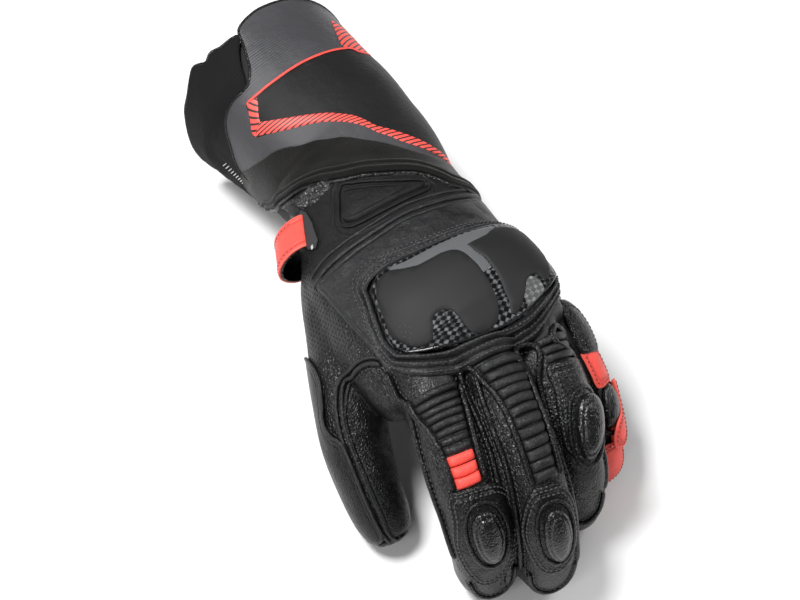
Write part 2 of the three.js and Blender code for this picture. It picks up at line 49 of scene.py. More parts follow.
# x, y, z of the centre, half width, half height, squareness and roll in degrees
sections = {
    "hand": [
        (8, 56, 47, 38, 31, 2.2, 0), (6, 38, 49, 37, 28, 2.2, 2), (4, 12, 53, 42, 27, 2.3, 5),
        (2.5, -14, 57, 44.5, 27, 2.4, 8), (4, -38, 60.5, 45, 25.5, 2.5, 10),
        (6.5, -54, 61.5, 44.5, 22, 2.5, 11), (8, -66, 61, 43, 19.5, 2.5, 11), (10, -80, 56, 44, 19, 2.5, 11),
    ],
    "cuff": [
        (-10, 131, 44, 42.5, 43.5, 2.2, 0), (-5.3, 112, 46.5, 41.8, 38.5, 2.2, 0),
        (0.5, 92, 47, 40.5, 35, 2.2, 0), (5, 72, 47, 39.2, 32.5, 2.2, 0), (7.8, 56.4, 47, 38, 31, 2.2, 0),
    ],
    "index": [
        (-15, -40, 67, 13, 15, 2.4, 4), (-17, -70, 66, 13, 15, 2.4, 0), (-18, -90, 62, 13, 14.5, 2.4, 0),
        (-18.5, -107, 54, 13.2, 14.5, 2.4, 0), (-18, -119, 42, 13.2, 14.5, 2.4, 0),
        (-17.5, -125, 28, 12.8, 13.5, 2.3, 0), (-17, -127, 15, 12, 12, 2.2, 0),
        (-17, -127, 6, 9.5, 9.5, 2.1, 0), (-17, -126.5, 1, 4.5, 4.5, 2, 0),
    ],
    "middle": [
        (8, -40, 70, 12.5, 15, 2.4, 6), (8.5, -70, 70, 12.5, 15, 2.4, 4), (8, -92, 66, 12.5, 14.5, 2.4, 4),
        (8, -111, 58, 12.5, 14.5, 2.4, 4), (7.5, -125, 45, 12.5, 14.5, 2.4, 4),
        (7, -132, 30, 12.2, 13.5, 2.3, 4), (6.5, -134.5, 16, 11.6, 12, 2.2, 4),
        (6.5, -134.5, 6, 9.2, 9.5, 2.1, 4), (6.5, -134, 1, 4.5, 4.5, 2, 4),
    ],
    "ring": [
        (30, -36, 65, 12, 14.5, 2.4, 14), (33, -64, 64, 12, 14.5, 2.4, 14), (33, -84, 58, 12, 14, 2.4, 14),
        (32.5, -99, 49, 12, 14, 2.4, 14), (31.5, -109, 37, 12, 13.5, 2.4, 14),
        (30.5, -114, 25, 11.6, 13, 2.3, 12), (30, -116, 14, 11, 11.5, 2.2, 10), (30, -116, 7, 9, 9, 2.1, 10),
        (30, -115.5, 2, 4.5, 4.5, 2, 10),
    ],
    "little": [
        (38, -28, 52, 10, 11, 2.4, 20), (50.5, -54, 50.5, 10.3, 12.5, 2.4, 22),
        (52, -68, 44, 10.2, 12.3, 2.4, 24), (51.8, -81, 35.5, 10.2, 12.3, 2.4, 24),
        (50.8, -91, 27, 10.2, 12, 2.4, 22), (51, -97, 18, 9.8, 11.5, 2.3, 20),
        (50.5, -99, 11, 9, 9.5, 2.2, 20), (50, -99.5, 5.5, 7, 7, 2.1, 20), (50, -99, 2, 4, 4, 2, 20),
    ],
    "thumb": [
        (-14, 26, 46, 17, 20, 2.2, 0), (-24, 4, 45, 18, 20, 2.2, 0), (-33.2, -20, 43, 16.4, 18, 2.2, 0),
        (-41, -42, 38, 14.3, 16, 2.2, 0), (-45.5, -60, 31, 13.3, 15, 2.2, 0),
        (-46.6, -76, 22, 11.8, 14, 2.2, 0), (-45.8, -87, 14, 10.8, 12.5, 2.2, 0),
        (-45, -94, 9.5, 8.6, 9, 2.1, 0), (-44.5, -98, 7, 4.5, 4.5, 2, 0),
    ],
}
sections["arm"] = sections["cuff"][:-1] + sections["hand"]


def bulge(value, power):
    return np.sign(value) * np.abs(value) ** power


def unit(ways):
    return ways / np.linalg.norm(ways, axis=-1, keepdims=True)


def ramp(value, width):
    return np.clip(value / width, 0, 1)


# The length of a line up to each of its points
def runAlong(points):
    return np.concatenate([[0], np.cumsum(np.linalg.norm(np.diff(points, axis=0), axis=1))])


# A smooth curve from b to c, with a before them and d after them
def curveBetween(a, b, c, d, shares):
    w = np.asarray(shares)[..., None]
    first, second, third = (max(((q - p) @ (q - p)) ** 0.25, 1e-4) for p, q in ((a, b), (b, c), (c, d)))
    leave = ((b - a) / first - (c - a) / (first + second) + (c - b) / second) * second
    reach = ((c - b) / second - (d - b) / (second + third) + (d - c) / third) * second
    return b + leave * w + (3 * (c - b) - 2 * leave - reach) * w**2 + (2 * (b - c) + leave + reach) * w**3


def pathPoint(points, share):
    place = share * (len(points) - 1)
    i = min(int(place), len(points) - 2)
    b, c = points[i], points[i + 1]
    a = points[i - 1] if i > 0 else 2 * points[0] - points[1]
    d = points[i + 2] if i + 2 < len(points) else 2 * points[-1] - points[-2]
    return curveBetween(a, b, c, d, place - i)


# Values between the given spots, with a smooth slope
def softly(spots, values, at):
    slope = np.gradient(values, spots)
    i = np.clip(np.searchsorted(spots, at, side="right") - 1, 0, len(spots) - 2)
    width = spots[i + 1] - spots[i]
    w = (at - spots[i]) / width
    start = (1 + 2 * w) * (1 - w) ** 2 * values[i] + w * (1 - w) ** 2 * width * slope[i]
    return start + w**2 * (3 - 2 * w) * values[i + 1] + w**2 * (w - 1) * width * slope[i + 1]


# Each tube is stored as fine steps along its path, with a table that makes degrees round it even in length
def makeTube(rows):
    rows = np.array(rows, float)
    share = np.linspace(0, 1, pathSteps + 1)
    centre = np.array([pathPoint(rows[:, :3], s) for s in share])
    ahead = np.array([pathPoint(rows[:, :3], min(s + 1e-4, 1)) for s in share])
    behind = np.array([pathPoint(rows[:, :3], max(s - 1e-4, 0)) for s in share])
    forward = unit(ahead - behind)
    size = np.column_stack([softly(np.linspace(0, 1, len(rows)), rows[:, k], share) for k in range(3, 7)])
    side = unit(np.array([1.0, 0, 0]) - forward * forward[:, :1])
    roll = np.radians(size[:, 3:4])
    side = side * np.cos(roll) + np.cross(forward, side) * np.sin(roll)
    across, high, square = size[pathSteps // 2, :3]
    angle = np.linspace(0, 360, 1441)
    turn = np.radians(angle)
    ring = np.column_stack([across * bulge(np.cos(turn), 2 / square), high * bulge(np.sin(turn), 2 / square)])
    arc = runAlong(ring)
    return {
        "columns": np.hstack([centre, forward, side, np.cross(forward, side), size]),
        "length": np.linalg.norm(np.diff(centre, axis=0), axis=1).sum(),
        "perDegree": arc[-1] / 360, "angle": angle, "even": arc / arc[-1] * 360,
    }


tubes = {name: makeTube(rows) for name, rows in sections.items()}


# The arm's sections crowd where the cuff meets the hand, so its path is eased there
def easeArm(middle=0.37, width=0.07, reach=0.05):
    table = tubes["arm"]["columns"]
    steps = np.linspace(0, 1, len(table))
    span = int(reach * pathSteps)
    eased = table.copy()
    for _ in range(3):
        padded = np.vstack([eased[:1]] * span + [eased] + [eased[-1:]] * span)
        summed = np.vstack([np.zeros((1, table.shape[1])), np.cumsum(padded, axis=0)])
        eased = (summed[2 * span + 1:] - summed[:-2 * span - 1]) / (2 * span + 1)
    share = np.exp(-(((steps - middle) / width) ** 4))[:, None]
    table[:] = table * (1 - share) + eased * share
    for start in (3, 6, 9):
        table[:, start:start + 3] = unit(table[:, start:start + 3])


easeArm()


# Points on a tube, in millimetres: along is 0 to 1, around is in even degrees from the little finger's side
# over the back of the hand, and lift is the height above the leather
def onTube(name, along, around, lift=0.0):
    tube = tubes[name]
    along, around, lift = np.broadcast_arrays(*(np.asarray(v, float) for v in (along, around, lift)))
    inside = np.clip(along, 0, 1)
    steps = np.linspace(0, 1, pathSteps + 1)
    at = np.stack([np.interp(inside, steps, column) for column in tube["columns"].T], -1)
    centre = at[..., 0:3] + at[..., 3:6] * ((along - inside) * tube["length"])[..., None]
    turn = np.radians(np.interp(around % 360, tube["even"], tube["angle"]))
    power = 2 / at[..., 14]
    across = np.maximum(at[..., 12] + lift, leastRadius) * bulge(np.cos(turn), power)
    high = np.maximum(at[..., 13] + lift, leastRadius) * bulge(np.sin(turn), power)
    return centre + at[..., 6:9] * across[..., None] + at[..., 9:12] * high[..., None] + cadShift


def outwardOn(name, along, around, lift=0.0):
    return unit(onTube(name, along, around, np.asarray(lift) + 1.0) - onTube(name, along, around, lift))


# Flat millimetres on a tube's unrolled skin, and back
def flatOf(name, outline):
    tube = tubes[name]
    outline = np.array(outline, float)
    return np.column_stack([outline[:, 1] * tube["perDegree"], outline[:, 0] * tube["length"]])


def fromFlat(name, flat):
    tube = tubes[name]
    return flat[:, 1] / tube["length"], flat[:, 0] / tube["perDegree"]


def smoothLoop(points, spacing, closed=True):
    points = np.asarray(points, float)
    count = len(points)
    spans = count if closed else count - 1
    made = []
    for i in range(spans):
        b, c = points[i], points[(i + 1) % count]
        a = points[i - 1] if closed or i else 2 * b - c
        d = points[(i + 2) % count] if closed or i + 2 < count else 2 * c - b
        made.append(curveBetween(a, b, c, d, np.linspace(0, 1, 9)[:-1]))
    if not closed:
        made.append(points[-1:])
    return evenly(np.vstack(made), spacing, closed)


def evenly(points, spacing, closed=True):
    if closed:
        points = np.vstack([points, points[:1]])
    run = runAlong(points)
    count = max(int(round(run[-1] / spacing)), 3)
    at = np.linspace(0, run[-1], count + 1)
    made = np.column_stack([np.interp(at, run, points[:, k]) for k in range(points.shape[1])])
    return made[:-1] if closed else made


def distanceTo(points, outline, closed=True):
    ends = np.roll(outline, -1, 0) if closed else outline[1:]
    starts = outline if closed else outline[:-1]
    best = np.full(len(points), 1e9)
    for a, b in zip(starts, ends):
        step = b - a
        share = np.clip(((points - a) @ step) / max(step @ step, 1e-12), 0, 1)
        best = np.minimum(best, np.linalg.norm(points - a - share[:, None] * step, axis=1))
    return best


# A line that runs inside an outline, at that distance from its edge
def insideLine(outline, distance, spacing):
    ahead, behind = np.roll(outline, -1, 0), np.roll(outline, 1, 0)
    step = ahead - behind
    area = (outline[:, 0] * ahead[:, 1] - ahead[:, 0] * outline[:, 1]).sum()
    inward = unit(np.column_stack([-step[:, 1], step[:, 0]]) * np.sign(area))
    moved = outline + inward * distance
    moved = moved[distanceTo(moved, outline) > abs(distance) * 0.96]
    return evenly(moved, spacing)


print("measures ready")


# Making tools
def deselectAll():
    bpy.ops.object.select_all(action="DESELECT")


def pick(piece):
    deselectAll()
    piece.select_set(True)
    bpy.context.view_layer.objects.active = piece


def corners(piece):
    held = np.zeros(len(piece.data.vertices) * 3)
    piece.data.vertices.foreach_get("co", held)
    return held.reshape(-1, 3)


def moveCorners(piece, points):
    piece.data.vertices.foreach_set("co", np.asarray(points, float).ravel())
    piece.data.update()


def keepNumber(piece, name, values):
    found = piece.data.attributes.get(name) or piece.data.attributes.new(name, "FLOAT", "POINT")
    found.data.foreach_set("value", np.asarray(values, np.float32))


def keepUv(piece, flat):
    layer = piece.data.uv_layers.active or piece.data.uv_layers.new(name="UVMap")
    index = np.zeros(len(piece.data.loops), np.int32)
    piece.data.loops.foreach_get("vertex_index", index)
    layer.data.foreach_set("uv", (flat[index] * 0.1).astype(np.float32).ravel())  # in centimetres


def applyModifier(piece, name, kind, **settings):
    pick(piece)
    modifier = piece.modifiers.new(name, kind)
    for key, value in settings.items():
        setattr(modifier, key, value)
    bpy.ops.object.modifier_apply(modifier=name)


def thicken(piece, thickness):
    applyModifier(piece, "leather", "SOLIDIFY", thickness=thickness * metre, offset=-1, use_rim=True)


# Corners that meet become one, and a solid's ends are closed and its faces turned out if asked for
def weld(piece, reach=2e-6, closeEnds=False, turnFaces=False):
    pick(piece)
    bpy.ops.object.mode_set(mode="EDIT")
    bpy.ops.mesh.select_all(action="SELECT")
    bpy.ops.mesh.remove_doubles(threshold=reach)
    if closeEnds:
        bpy.ops.mesh.fill_holes(sides=0)
    if turnFaces:
        bpy.ops.mesh.normals_make_consistent(inside=False)
    bpy.ops.object.mode_set(mode="OBJECT")


def joinAll(pieces, name):
    deselectAll()
    for piece in pieces:
        piece.select_set(True)
    bpy.context.view_layer.objects.active = pieces[0]
    bpy.ops.object.join()
    whole = bpy.context.object
    whole.name = whole.data.name = name
    return whole


def smooth(piece, angle=40):
    pick(piece)
    bpy.ops.object.shade_smooth_by_angle(angle=math.radians(angle))


def finishPiece(piece, material, stands=(), angle=40):
    smooth(piece, angle)
    piece.data.materials.clear()
    piece.data.materials.append(material)
    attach(piece, "root")
    if stands:
        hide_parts(*stands)
    return piece


def newGrid(name, columns, rows):
    deselectAll()
    bpy.ops.mesh.primitive_grid_add(x_subdivisions=columns, y_subdivisions=rows, size=2)
    piece = bpy.context.object
    piece.name = piece.data.name = name
    at = corners(piece)
    return piece, (at[:, 0] + 1) / 2, (at[:, 1] + 1) / 2


def rowOf(down, rows):
    return np.rint(down * rows).astype(int)


def stretched(line, rows):
    spots, run = np.linspace(0, 1, rows + 1), np.linspace(0, 1, len(line))
    return np.column_stack([np.interp(spots, run, line[:, k]) for k in (0, 1)])


def between(first, second, row, over):
    return first[row] * (1 - over[:, None]) + second[row] * over[:, None]


def flatNoise(flat, wide, tall, seed):
    return np.array([noise.noise(Vector((u * wide, v * tall, seed))) for u, v in flat])


# An outline is a list of (share along its tube, even degrees round it).
# A leather panel: a flat outline is cut into small faces, its rim steps down, and it is laid on its tube
def layPanel(name, measures, material, stands=(), lift=None):
    tube = measures["tube"]
    outline = flatOf(tube, measures["outline"])
    outline = smoothLoop(outline, 1.1) if measures.get("soft", True) else evenly(outline, 1.1)
    deselectAll()
    bpy.ops.mesh.primitive_circle_add(vertices=len(outline), radius=1, fill_type="NGON")
    piece = bpy.context.object
    piece.name = piece.data.name = name
    moveCorners(piece, np.column_stack([outline, np.zeros(len(outline))]))
    if piece.data.polygons[0].normal.z < 0:
        piece.data.flip_normals()
    bpy.ops.object.mode_set(mode="EDIT")
    bpy.ops.mesh.select_mode(type="FACE")
    for rim in measures.get("rims", (0.3, 0.5)):
        bpy.ops.mesh.inset(thickness=rim, depth=0, use_even_offset=True)
    cell = measures.get("cell", 2.4)
    low, high = outline.min(0), outline.max(0)
    for axis in (0, 1):
        way = [0, 0, 0]
        way[axis] = 1
        for spot in np.arange(low[axis] + cell * 0.53, high[axis], cell):
            bpy.ops.mesh.select_all(action="SELECT")
            centre = [0, 0, 0]
            centre[axis] = spot
            bpy.ops.mesh.bisect(plane_co=centre, plane_no=way)
    bpy.ops.object.mode_set(mode="OBJECT")
    flat = corners(piece)[:, :2]
    edge = distanceTo(flat, outline)
    keepNumber(piece, "edge", edge)
    keepUv(piece, flat)
    along, around = fromFlat(tube, flat)
    height = np.full(len(flat), float(measures["high"]))
    roll = measures.get("roll", 0.6)
    height -= roll * (1 - ramp(edge, 0.8)) ** 2
    if "swell" in measures:
        share = ramp(edge, measures["swellWidth"])
        height += measures["swell"] * np.sqrt(1 - (1 - share) ** 2)
    for fromSpot, toSpot, depth, width in measures.get("creases", ()):
        line = flatOf(tube, [fromSpot, toSpot])
        near = distanceTo(flat, line, closed=False)
        height -= depth * np.exp(-((near / width) ** 2)) * ramp(edge, 3)
    if lift is not None:
        height += lift(flat, edge)
    moveCorners(piece, onTube(tube, along, around, height) * metre)
    thicken(piece, measures["high"] - measures["low"])
    return finishPiece(piece, material, stands)


# A strip between two lines on a tube, with a height for each share of the way across
def layStrip(name, tube, lineA, lineB, profile, material, stands=(), thickness=1.2, columns=8, lift=None):
    flatA, flatB = flatOf(tube, lineA), flatOf(tube, lineB)
    rows = int(max(runAlong(line)[-1] for line in (flatA, flatB)) / 1.4)
    flatA, flatB = (stretched(smoothLoop(line, 0.4, False), rows) for line in (flatA, flatB))
    piece, over, down = newGrid(name, columns, rows)
    row = rowOf(down, rows)
    flat = between(flatA, flatB, row, over)
    shares, heights = zip(*profile)
    along, around = fromFlat(tube, flat)
    width = np.linalg.norm(flatB[row] - flatA[row], axis=1)
    length = runAlong((flatA + flatB) / 2)
    keepUv(piece, np.column_stack([(over - 0.5) * width, length[row]]))
    keepNumber(piece, "edge", np.minimum(over, 1 - over) * width)
    height = np.interp(over, shares, heights) + (lift(flat) if lift else 0)
    moveCorners(piece, onTube(tube, along, around, height) * metre)
    turnOut(piece, tube)
    thicken(piece, thickness)
    return finishPiece(piece, material, stands)


# A sheet is turned so that its faces look away from the middle of the tube that it lies on
def turnOut(piece, tube):
    face = piece.data.polygons[len(piece.data.polygons) // 2]
    centre = tubes[tube]["columns"][:, :3] + cadShift
    nearest = centre[np.argmin(np.linalg.norm(centre - np.array(face.center) / metre, axis=1))]
    if face.normal.dot(face.center - Vector(nearest * metre)) < 0:
        piece.data.flip_normals()


# A folded stretch panel: rounded ribs across a four-sided patch
def layRibs(name, measures, material, stands=()):
    tube, ribs = measures["tube"], measures["ribs"]
    rows, columns = ribs * 12, 16
    sides = (smoothLoop(flatOf(tube, measures[side]), 0.4, False) for side in ("left", "right"))
    left, right = (stretched(line, rows) for line in sides)
    piece, over, down = newGrid(name, columns, rows)
    row = rowOf(down, rows)
    flat = between(left, right, row, over)
    width = np.linalg.norm(right[row] - left[row], axis=1)
    edge = np.minimum(over, 1 - over) * width
    wave = np.abs(np.sin(math.pi * ribs * down)) ** 0.34
    number = np.floor(down * ribs * 0.999)
    uneven = 1 + 0.12 * np.sin(number * 2.3 + over * 2.1)
    pinch = 0.25 + 0.75 * ramp(edge, 1.8) ** 0.6
    height = measures["low"] + measures["ribHeight"] * wave * uneven * pinch
    sag = np.sin(math.pi * over) * measures.get("bow", 0.5)
    flat = flat + np.column_stack([np.zeros(len(flat)), sag * np.sin(number + 0.4)])
    along, around = fromFlat(tube, flat)
    keepUv(piece, flat)
    keepNumber(piece, "edge", edge + 3)
    moveCorners(piece, onTube(tube, along, around, height) * metre)
    turnOut(piece, tube)
    thicken(piece, measures["low"] + 1.2)
    return finishPiece(piece, material, stands, 60)


# A rounded cord, welt or piping along a line of points with their outward directions, in millimetres
def layCord(name, points, outward, width, height, material, closed=False, sides=8, ends=2.5):
    points, outward = np.asarray(points), np.asarray(outward)
    rows = len(points) if closed else len(points) - 1
    if closed:
        points, outward = np.vstack([points, points[:1]]), np.vstack([outward, outward[:1]])
        way = np.roll(points[:-1], -1, 0) - np.roll(points[:-1], 1, 0)
        way = np.vstack([way, way[:1]])
        taper = np.ones(len(points))
    else:
        way = np.gradient(points, axis=0)
        run = runAlong(points)
        near = np.minimum(run, run[-1] - run)
        taper = np.sqrt(np.clip(1 - (1 - ramp(near, ends)) ** 2, 1e-6, 1))
    way = unit(way)
    outward = unit(outward - way * (outward * way).sum(1, keepdims=True))
    across = np.cross(way, outward)
    piece, around, down = newGrid(name, sides, rows)
    row = rowOf(down, rows)
    turn = around * 2 * math.pi
    reach = across[row] * (np.cos(turn) * width / 2)[:, None] + outward[row] * (
        np.sin(turn) * height / 2
    )[:, None]
    at = points[row] + reach * taper[row][:, None]
    length = runAlong(points)
    keepUv(piece, np.column_stack([around * math.pi * width * 0.7, length[row]]))
    keepNumber(piece, "edge", np.full(len(at), 9.0))
    moveCorners(piece, at * metre)
    weld(piece, turnFaces=True)
    return finishPiece(piece, material, angle=70)


# The same open line moved sideways, to the left of its own direction
def beside(line, distance):
    step = unit(np.gradient(line, axis=0))
    moved = line + np.column_stack([-step[:, 1], step[:, 0]]) * distance
    moved = moved[distanceTo(moved, line, closed=False) > abs(distance) * 0.96]
    return evenly(moved, 1.5, False)


def lineOn(tube, flat, lift):
    along, around = fromFlat(tube, flat)
    return onTube(tube, along, around, lift), outwardOn(tube, along, around, lift)


# A line through spots on several tubes, each (tube, along, around, lift)
def lineThrough(spots, spacing=1.5):
    points = np.array([onTube(*spot) for spot in spots])
    outward = np.array([outwardOn(*spot) for spot in spots])
    joined = smoothLoop(np.hstack([points, outward * 10]), spacing, False)
    return joined[:, :3], unit(joined[:, 3:])


# Across a line, along the surface that it lies on
def sideways(points, outward):
    return unit(np.cross(np.gradient(points, axis=0), outward))


# One stitch is made once, and copied along the lines of a seam
def oneStitch(length, thickness):
    deselectAll()
    bpy.ops.mesh.primitive_uv_sphere_add(segments=6, ring_count=5, radius=0.5 * metre)
    stitch = bpy.context.object
    at = corners(stitch) * np.array([thickness, thickness, 1.0])
    at[:, 2] = np.sign(at[:, 2]) * (np.abs(at[:, 2]) / (0.5 * metre)) ** 0.7 * 0.5 * metre * length
    moveCorners(stitch, at)
    return stitch


def sewLines(name, lines, material, pitch=2.4, length=1.7, thickness=0.42):
    stitch = oneStitch(length, thickness)
    copies = []
    for points, outward in lines:
        run = runAlong(points)
        for spot in np.arange(pitch / 2, run[-1], pitch):
            at, out = (np.array([np.interp(spot, run, v[:, k]) for k in range(3)]) for v in (points, outward))
            i = min(np.searchsorted(run, spot), len(points) - 1)
            way = Vector(points[i] - points[i - 1]).normalized()
            out = Vector(out)
            out = (out - way * way.dot(out)).normalized()
            turn = Matrix([way.cross(out), out, way]).transposed()
            copy = stitch.data.copy()
            copy.transform(Matrix.Translation(Vector(at * metre)) @ turn.to_4x4())
            copies.append(bpy.data.objects.new(name, copy))
    for copy in copies:
        bpy.context.collection.objects.link(copy)
    bpy.data.objects.remove(stitch)
    return finishPiece(joinAll(copies, name), material, angle=70)


def closedLine(points, outward):
    return np.vstack([points, points[:1]]), np.vstack([outward, outward[:1]])


# Shader maths
class Wire:
    def __init__(self, paint, socket):
        self.paint, self.socket = paint, socket

    def __add__(self, other):
        return self.paint.maths("ADD", self, other)

    def __sub__(self, other):
        return self.paint.maths("SUBTRACT", self, other)

    def __rsub__(self, other):
        return self.paint.maths("SUBTRACT", other, self)

    def __mul__(self, other):
        return self.paint.maths("MULTIPLY", self, other)

    def __truediv__(self, other):
        return self.paint.maths("DIVIDE", self, other)

    def __pow__(self, other):
        return self.paint.maths("POWER", self, other)

    __radd__, __rmul__ = __add__, __mul__


class Paint:
    def __init__(self, name):
        self.material = bpy.data.materials.new(name)
        self.material.use_nodes = True
        self.tree = self.material.node_tree
        self.tree.nodes.clear()
        self.surface = self.tree.nodes.new("ShaderNodeBsdfPrincipled")
        output = self.tree.nodes.new("ShaderNodeOutputMaterial")
        self.tree.links.new(self.surface.outputs[0], output.inputs[0])

    def node(self, kind, settings=None, inputs=None, output=0):
        made = self.tree.nodes.new("ShaderNode" + kind)
        for key, value in (settings or {}).items():
            if key == "stops":
                while len(made.color_ramp.elements) < len(value):
                    made.color_ramp.elements.new(0.5)
                for element, (place, tone) in zip(made.color_ramp.elements, value):
                    element.position, element.color = place, (*tone, 1)
            else:
                setattr(made, key, value)
        self.feed(made, inputs or {})
        return Wire(self, made.outputs[output])

    def feed(self, made, inputs):
        for key, value in inputs.items():
            if isinstance(value, Wire):
                self.tree.links.new(value.socket, made.inputs[key])
            elif isinstance(value, tuple) and made.inputs[key].type == "RGBA":
                made.inputs[key].default_value = (*value, 1)
            else:
                made.inputs[key].default_value = value

    def maths(self, operation, *values):
        return self.node("Math", {"operation": operation}, dict(enumerate(values)))

    def clamp(self, value, low, high):
        steps = {"interpolation_type": "SMOOTHSTEP"}
        return self.node("MapRange", steps, {0: value, 1: low, 2: high, 3: 0.0, 4: 1.0})

    def blend(self, share, first, second):
        return self.node("Mix", {"data_type": "RGBA"}, {0: share, 6: first, 7: second}, 2)

    def place(self):
        return self.node("TexCoord", output=3)

    def sheet(self):
        return self.node("TexCoord", output=2)

    def number(self, name):
        return self.node("Attribute", {"attribute_name": name}, output=2)

    def cloud(self, where, scale, detail=3.0, roughness=0.55):
        return self.node(
            "TexNoise", inputs={"Vector": where, "Scale": scale, "Detail": detail, "Roughness": roughness}
        )

    def split(self, where):
        made = self.tree.nodes.new("ShaderNodeSeparateXYZ")
        self.tree.links.new(where.socket, made.inputs[0])
        return [Wire(self, socket) for socket in made.outputs]

    def bump(self, height, distance, strength=1.0, under=None):
        inputs = {"Height": height, "Distance": distance, "Strength": strength}
        if under is not None:
            inputs["Normal"] = under
        return self.node("Bump", inputs=inputs)

    def done(self, **inputs):
        self.feed(self.surface, {key.replace("_", " "): value for key, value in inputs.items()})
        return self.material


def tone(red, green, blue):
    return tuple(((v / 255 + 0.055) / 1.055) ** 2.4 if v > 10 else v / 3295 for v in (red, green, blue))


# Leather: pebbled grain, soft folds, colour that varies, a lighter rim and the dip that a seam pulls into it,
# with painted shade darkening that dip
leatherLook = {
    "grain": {
        "colour": tone(9, 9, 10), "pale": tone(17, 17, 18), "gloss": 0.27, "pebble": 700, "depth": 0.00017,
        "folds": 0.0003, "shine": 0.33,
    },
    "skin": {
        "colour": tone(16, 16, 17), "pale": tone(26, 26, 27), "gloss": 0.30, "pebble": 740, "depth": 0.00026,
        "folds": 0.00012,
    },
    "puff": {
        "colour": tone(9, 9, 10), "pale": tone(16, 16, 17), "gloss": 0.19, "pebble": 760, "depth": 0.00013,
        "folds": 0.0002, "shine": 0.55,
    },
    "thumb": {
        "colour": tone(8, 8, 9), "pale": tone(15, 15, 16), "gloss": 0.29, "pebble": 900, "depth": 0.0002,
        "folds": 0.0002, "shine": 0.27,
    },
    "smooth": {
        "colour": tone(17, 17, 18), "pale": tone(27, 27, 29), "gloss": 0.37, "pebble": 1500, "depth": 0.00012,
        "folds": 0.0003,
    },
    "matt": {
        "colour": tone(9, 9, 9), "pale": tone(16, 16, 17), "gloss": 0.5, "pebble": 1500, "depth": 0.00012,
        "folds": 0.00025, "shine": 0.28,
    },
    "red": {
        "colour": tone(240, 72, 62), "pale": tone(246, 88, 76), "gloss": 0.46, "pebble": 1500,
        "depth": 0.00008, "folds": 0.0002,
    },
}


# The rows of holes: radii and depth in metres, degrees that their sheet leans and turns
holeRows = {"pitch": 0.0021, "open": 0.00034, "rim": 0.00052, "depth": 0.0007, "lean": -52, "turn": 12}


def leather(name, look, holes=False, seam=True):
    paint = Paint(name)
    where = paint.place()
    waver = paint.cloud(where, 420.0, 2.0)
    wavers = paint.node("CombineXYZ", inputs={0: waver, 1: waver, 2: waver})
    bent = paint.node(
        "VectorMath", {"operation": "MULTIPLY_ADD"}, {0: wavers, 1: (0.0012, 0.0012, 0.0012), 2: where}
    )
    pebbles = paint.node(
        "TexVoronoi", {"feature": "DISTANCE_TO_EDGE"}, {"Vector": bent, "Scale": look["pebble"]}
    )
    grain = paint.clamp(pebbles, 0.0, 0.32)
    fine = paint.cloud(where, 2600.0, 3.0)
    folds = paint.cloud(where, 95.0, 4.0, 0.5)
    broad = paint.cloud(where, 38.0, 3.0)
    height = (grain + fine * 0.3) * (paint.number("pebbled") if holes else 1.0)
    normal = paint.bump(folds, look["folds"] * 12, 0.5)
    normal = paint.bump(height, look["depth"], 0.8, normal)
    colour = paint.blend(broad, look["colour"], look["pale"])
    gloss = 0.09 * fine + 0.16 * (broad - 0.5) + (look["gloss"] - 0.05) + 0.08 * (1 - grain)
    if holes:
        smoother = 1 - paint.number("pebbled")
        gloss = gloss + 0.2 * smoother
        colour = paint.blend(smoother, tuple(v * 0.5 for v in look["colour"]), colour)
    if seam:
        edge = paint.number("edge")
        away = paint.maths("ABSOLUTE", edge - 2.0)
        dip = paint.clamp(away, 0.0, 0.75)
        normal = paint.bump(dip, 0.0006, 0.55, normal)
        lighterRim = 1 - paint.clamp(edge, 0.1, 0.9)
        colour = paint.blend(lighterRim * 0.35, colour, tuple(min(v * 2.2, 1) for v in look["pale"]))
        # Painted shade: the colour darkens by up to half along the seam's dip
        colour = paint.blend((1 - dip) * 0.5, colour, tuple(v * 0.5 for v in look["colour"]))
    if holes:
        lean = (0.0, math.radians(holeRows["lean"]), math.radians(holeRows["turn"]))
        turned = paint.node("Mapping", {"vector_type": "TEXTURE"}, {"Vector": where, "Rotation": lean})
        sideways, lengthways, _ = paint.split(turned)
        pitch = holeRows["pitch"]
        rowNumber = paint.maths("FLOOR", lengthways / pitch)
        shift = paint.maths("PINGPONG", rowNumber, 1.0) * (pitch / 2)
        u = paint.maths("WRAP", sideways + shift, pitch / 2, -pitch / 2)
        v = paint.maths("WRAP", lengthways, pitch, 0.0) - pitch / 2
        distance = paint.maths("SQRT", u * u + v * v)
        hole = 1 - paint.clamp(distance, holeRows["open"], holeRows["rim"])
        hole = hole * paint.number("perforated")
        normal = paint.bump(1 - hole, holeRows["depth"], 1.0, normal)
        # Painted shade: the holes are painted near black for the shade inside them
        colour = paint.blend(hole, colour, (0.001, 0.001, 0.001))
        gloss = gloss + hole * 0.4
    return paint.done(
        Base_Color=colour, Roughness=gloss, Normal=normal, Specular_IOR_Level=look.get("shine", 0.42)
    )


def suedeLook(name):
    paint = Paint(name)
    where = paint.place()
    nap = paint.cloud(where, 900.0, 5.0, 0.7)
    brushed = paint.cloud(where, 70.0, 4.0)
    colour = paint.blend(paint.clamp(nap * 0.6 + brushed * 0.6, 0.35, 0.8), tone(6, 6, 5), tone(21, 20, 19))
    normal = paint.bump(nap, 0.0005, 0.7)
    return paint.done(
        Base_Color=colour, Roughness=0.96, Normal=normal, Sheen_Weight=0.18, Sheen_Roughness=0.5,
        Specular_IOR_Level=0.2,
    )


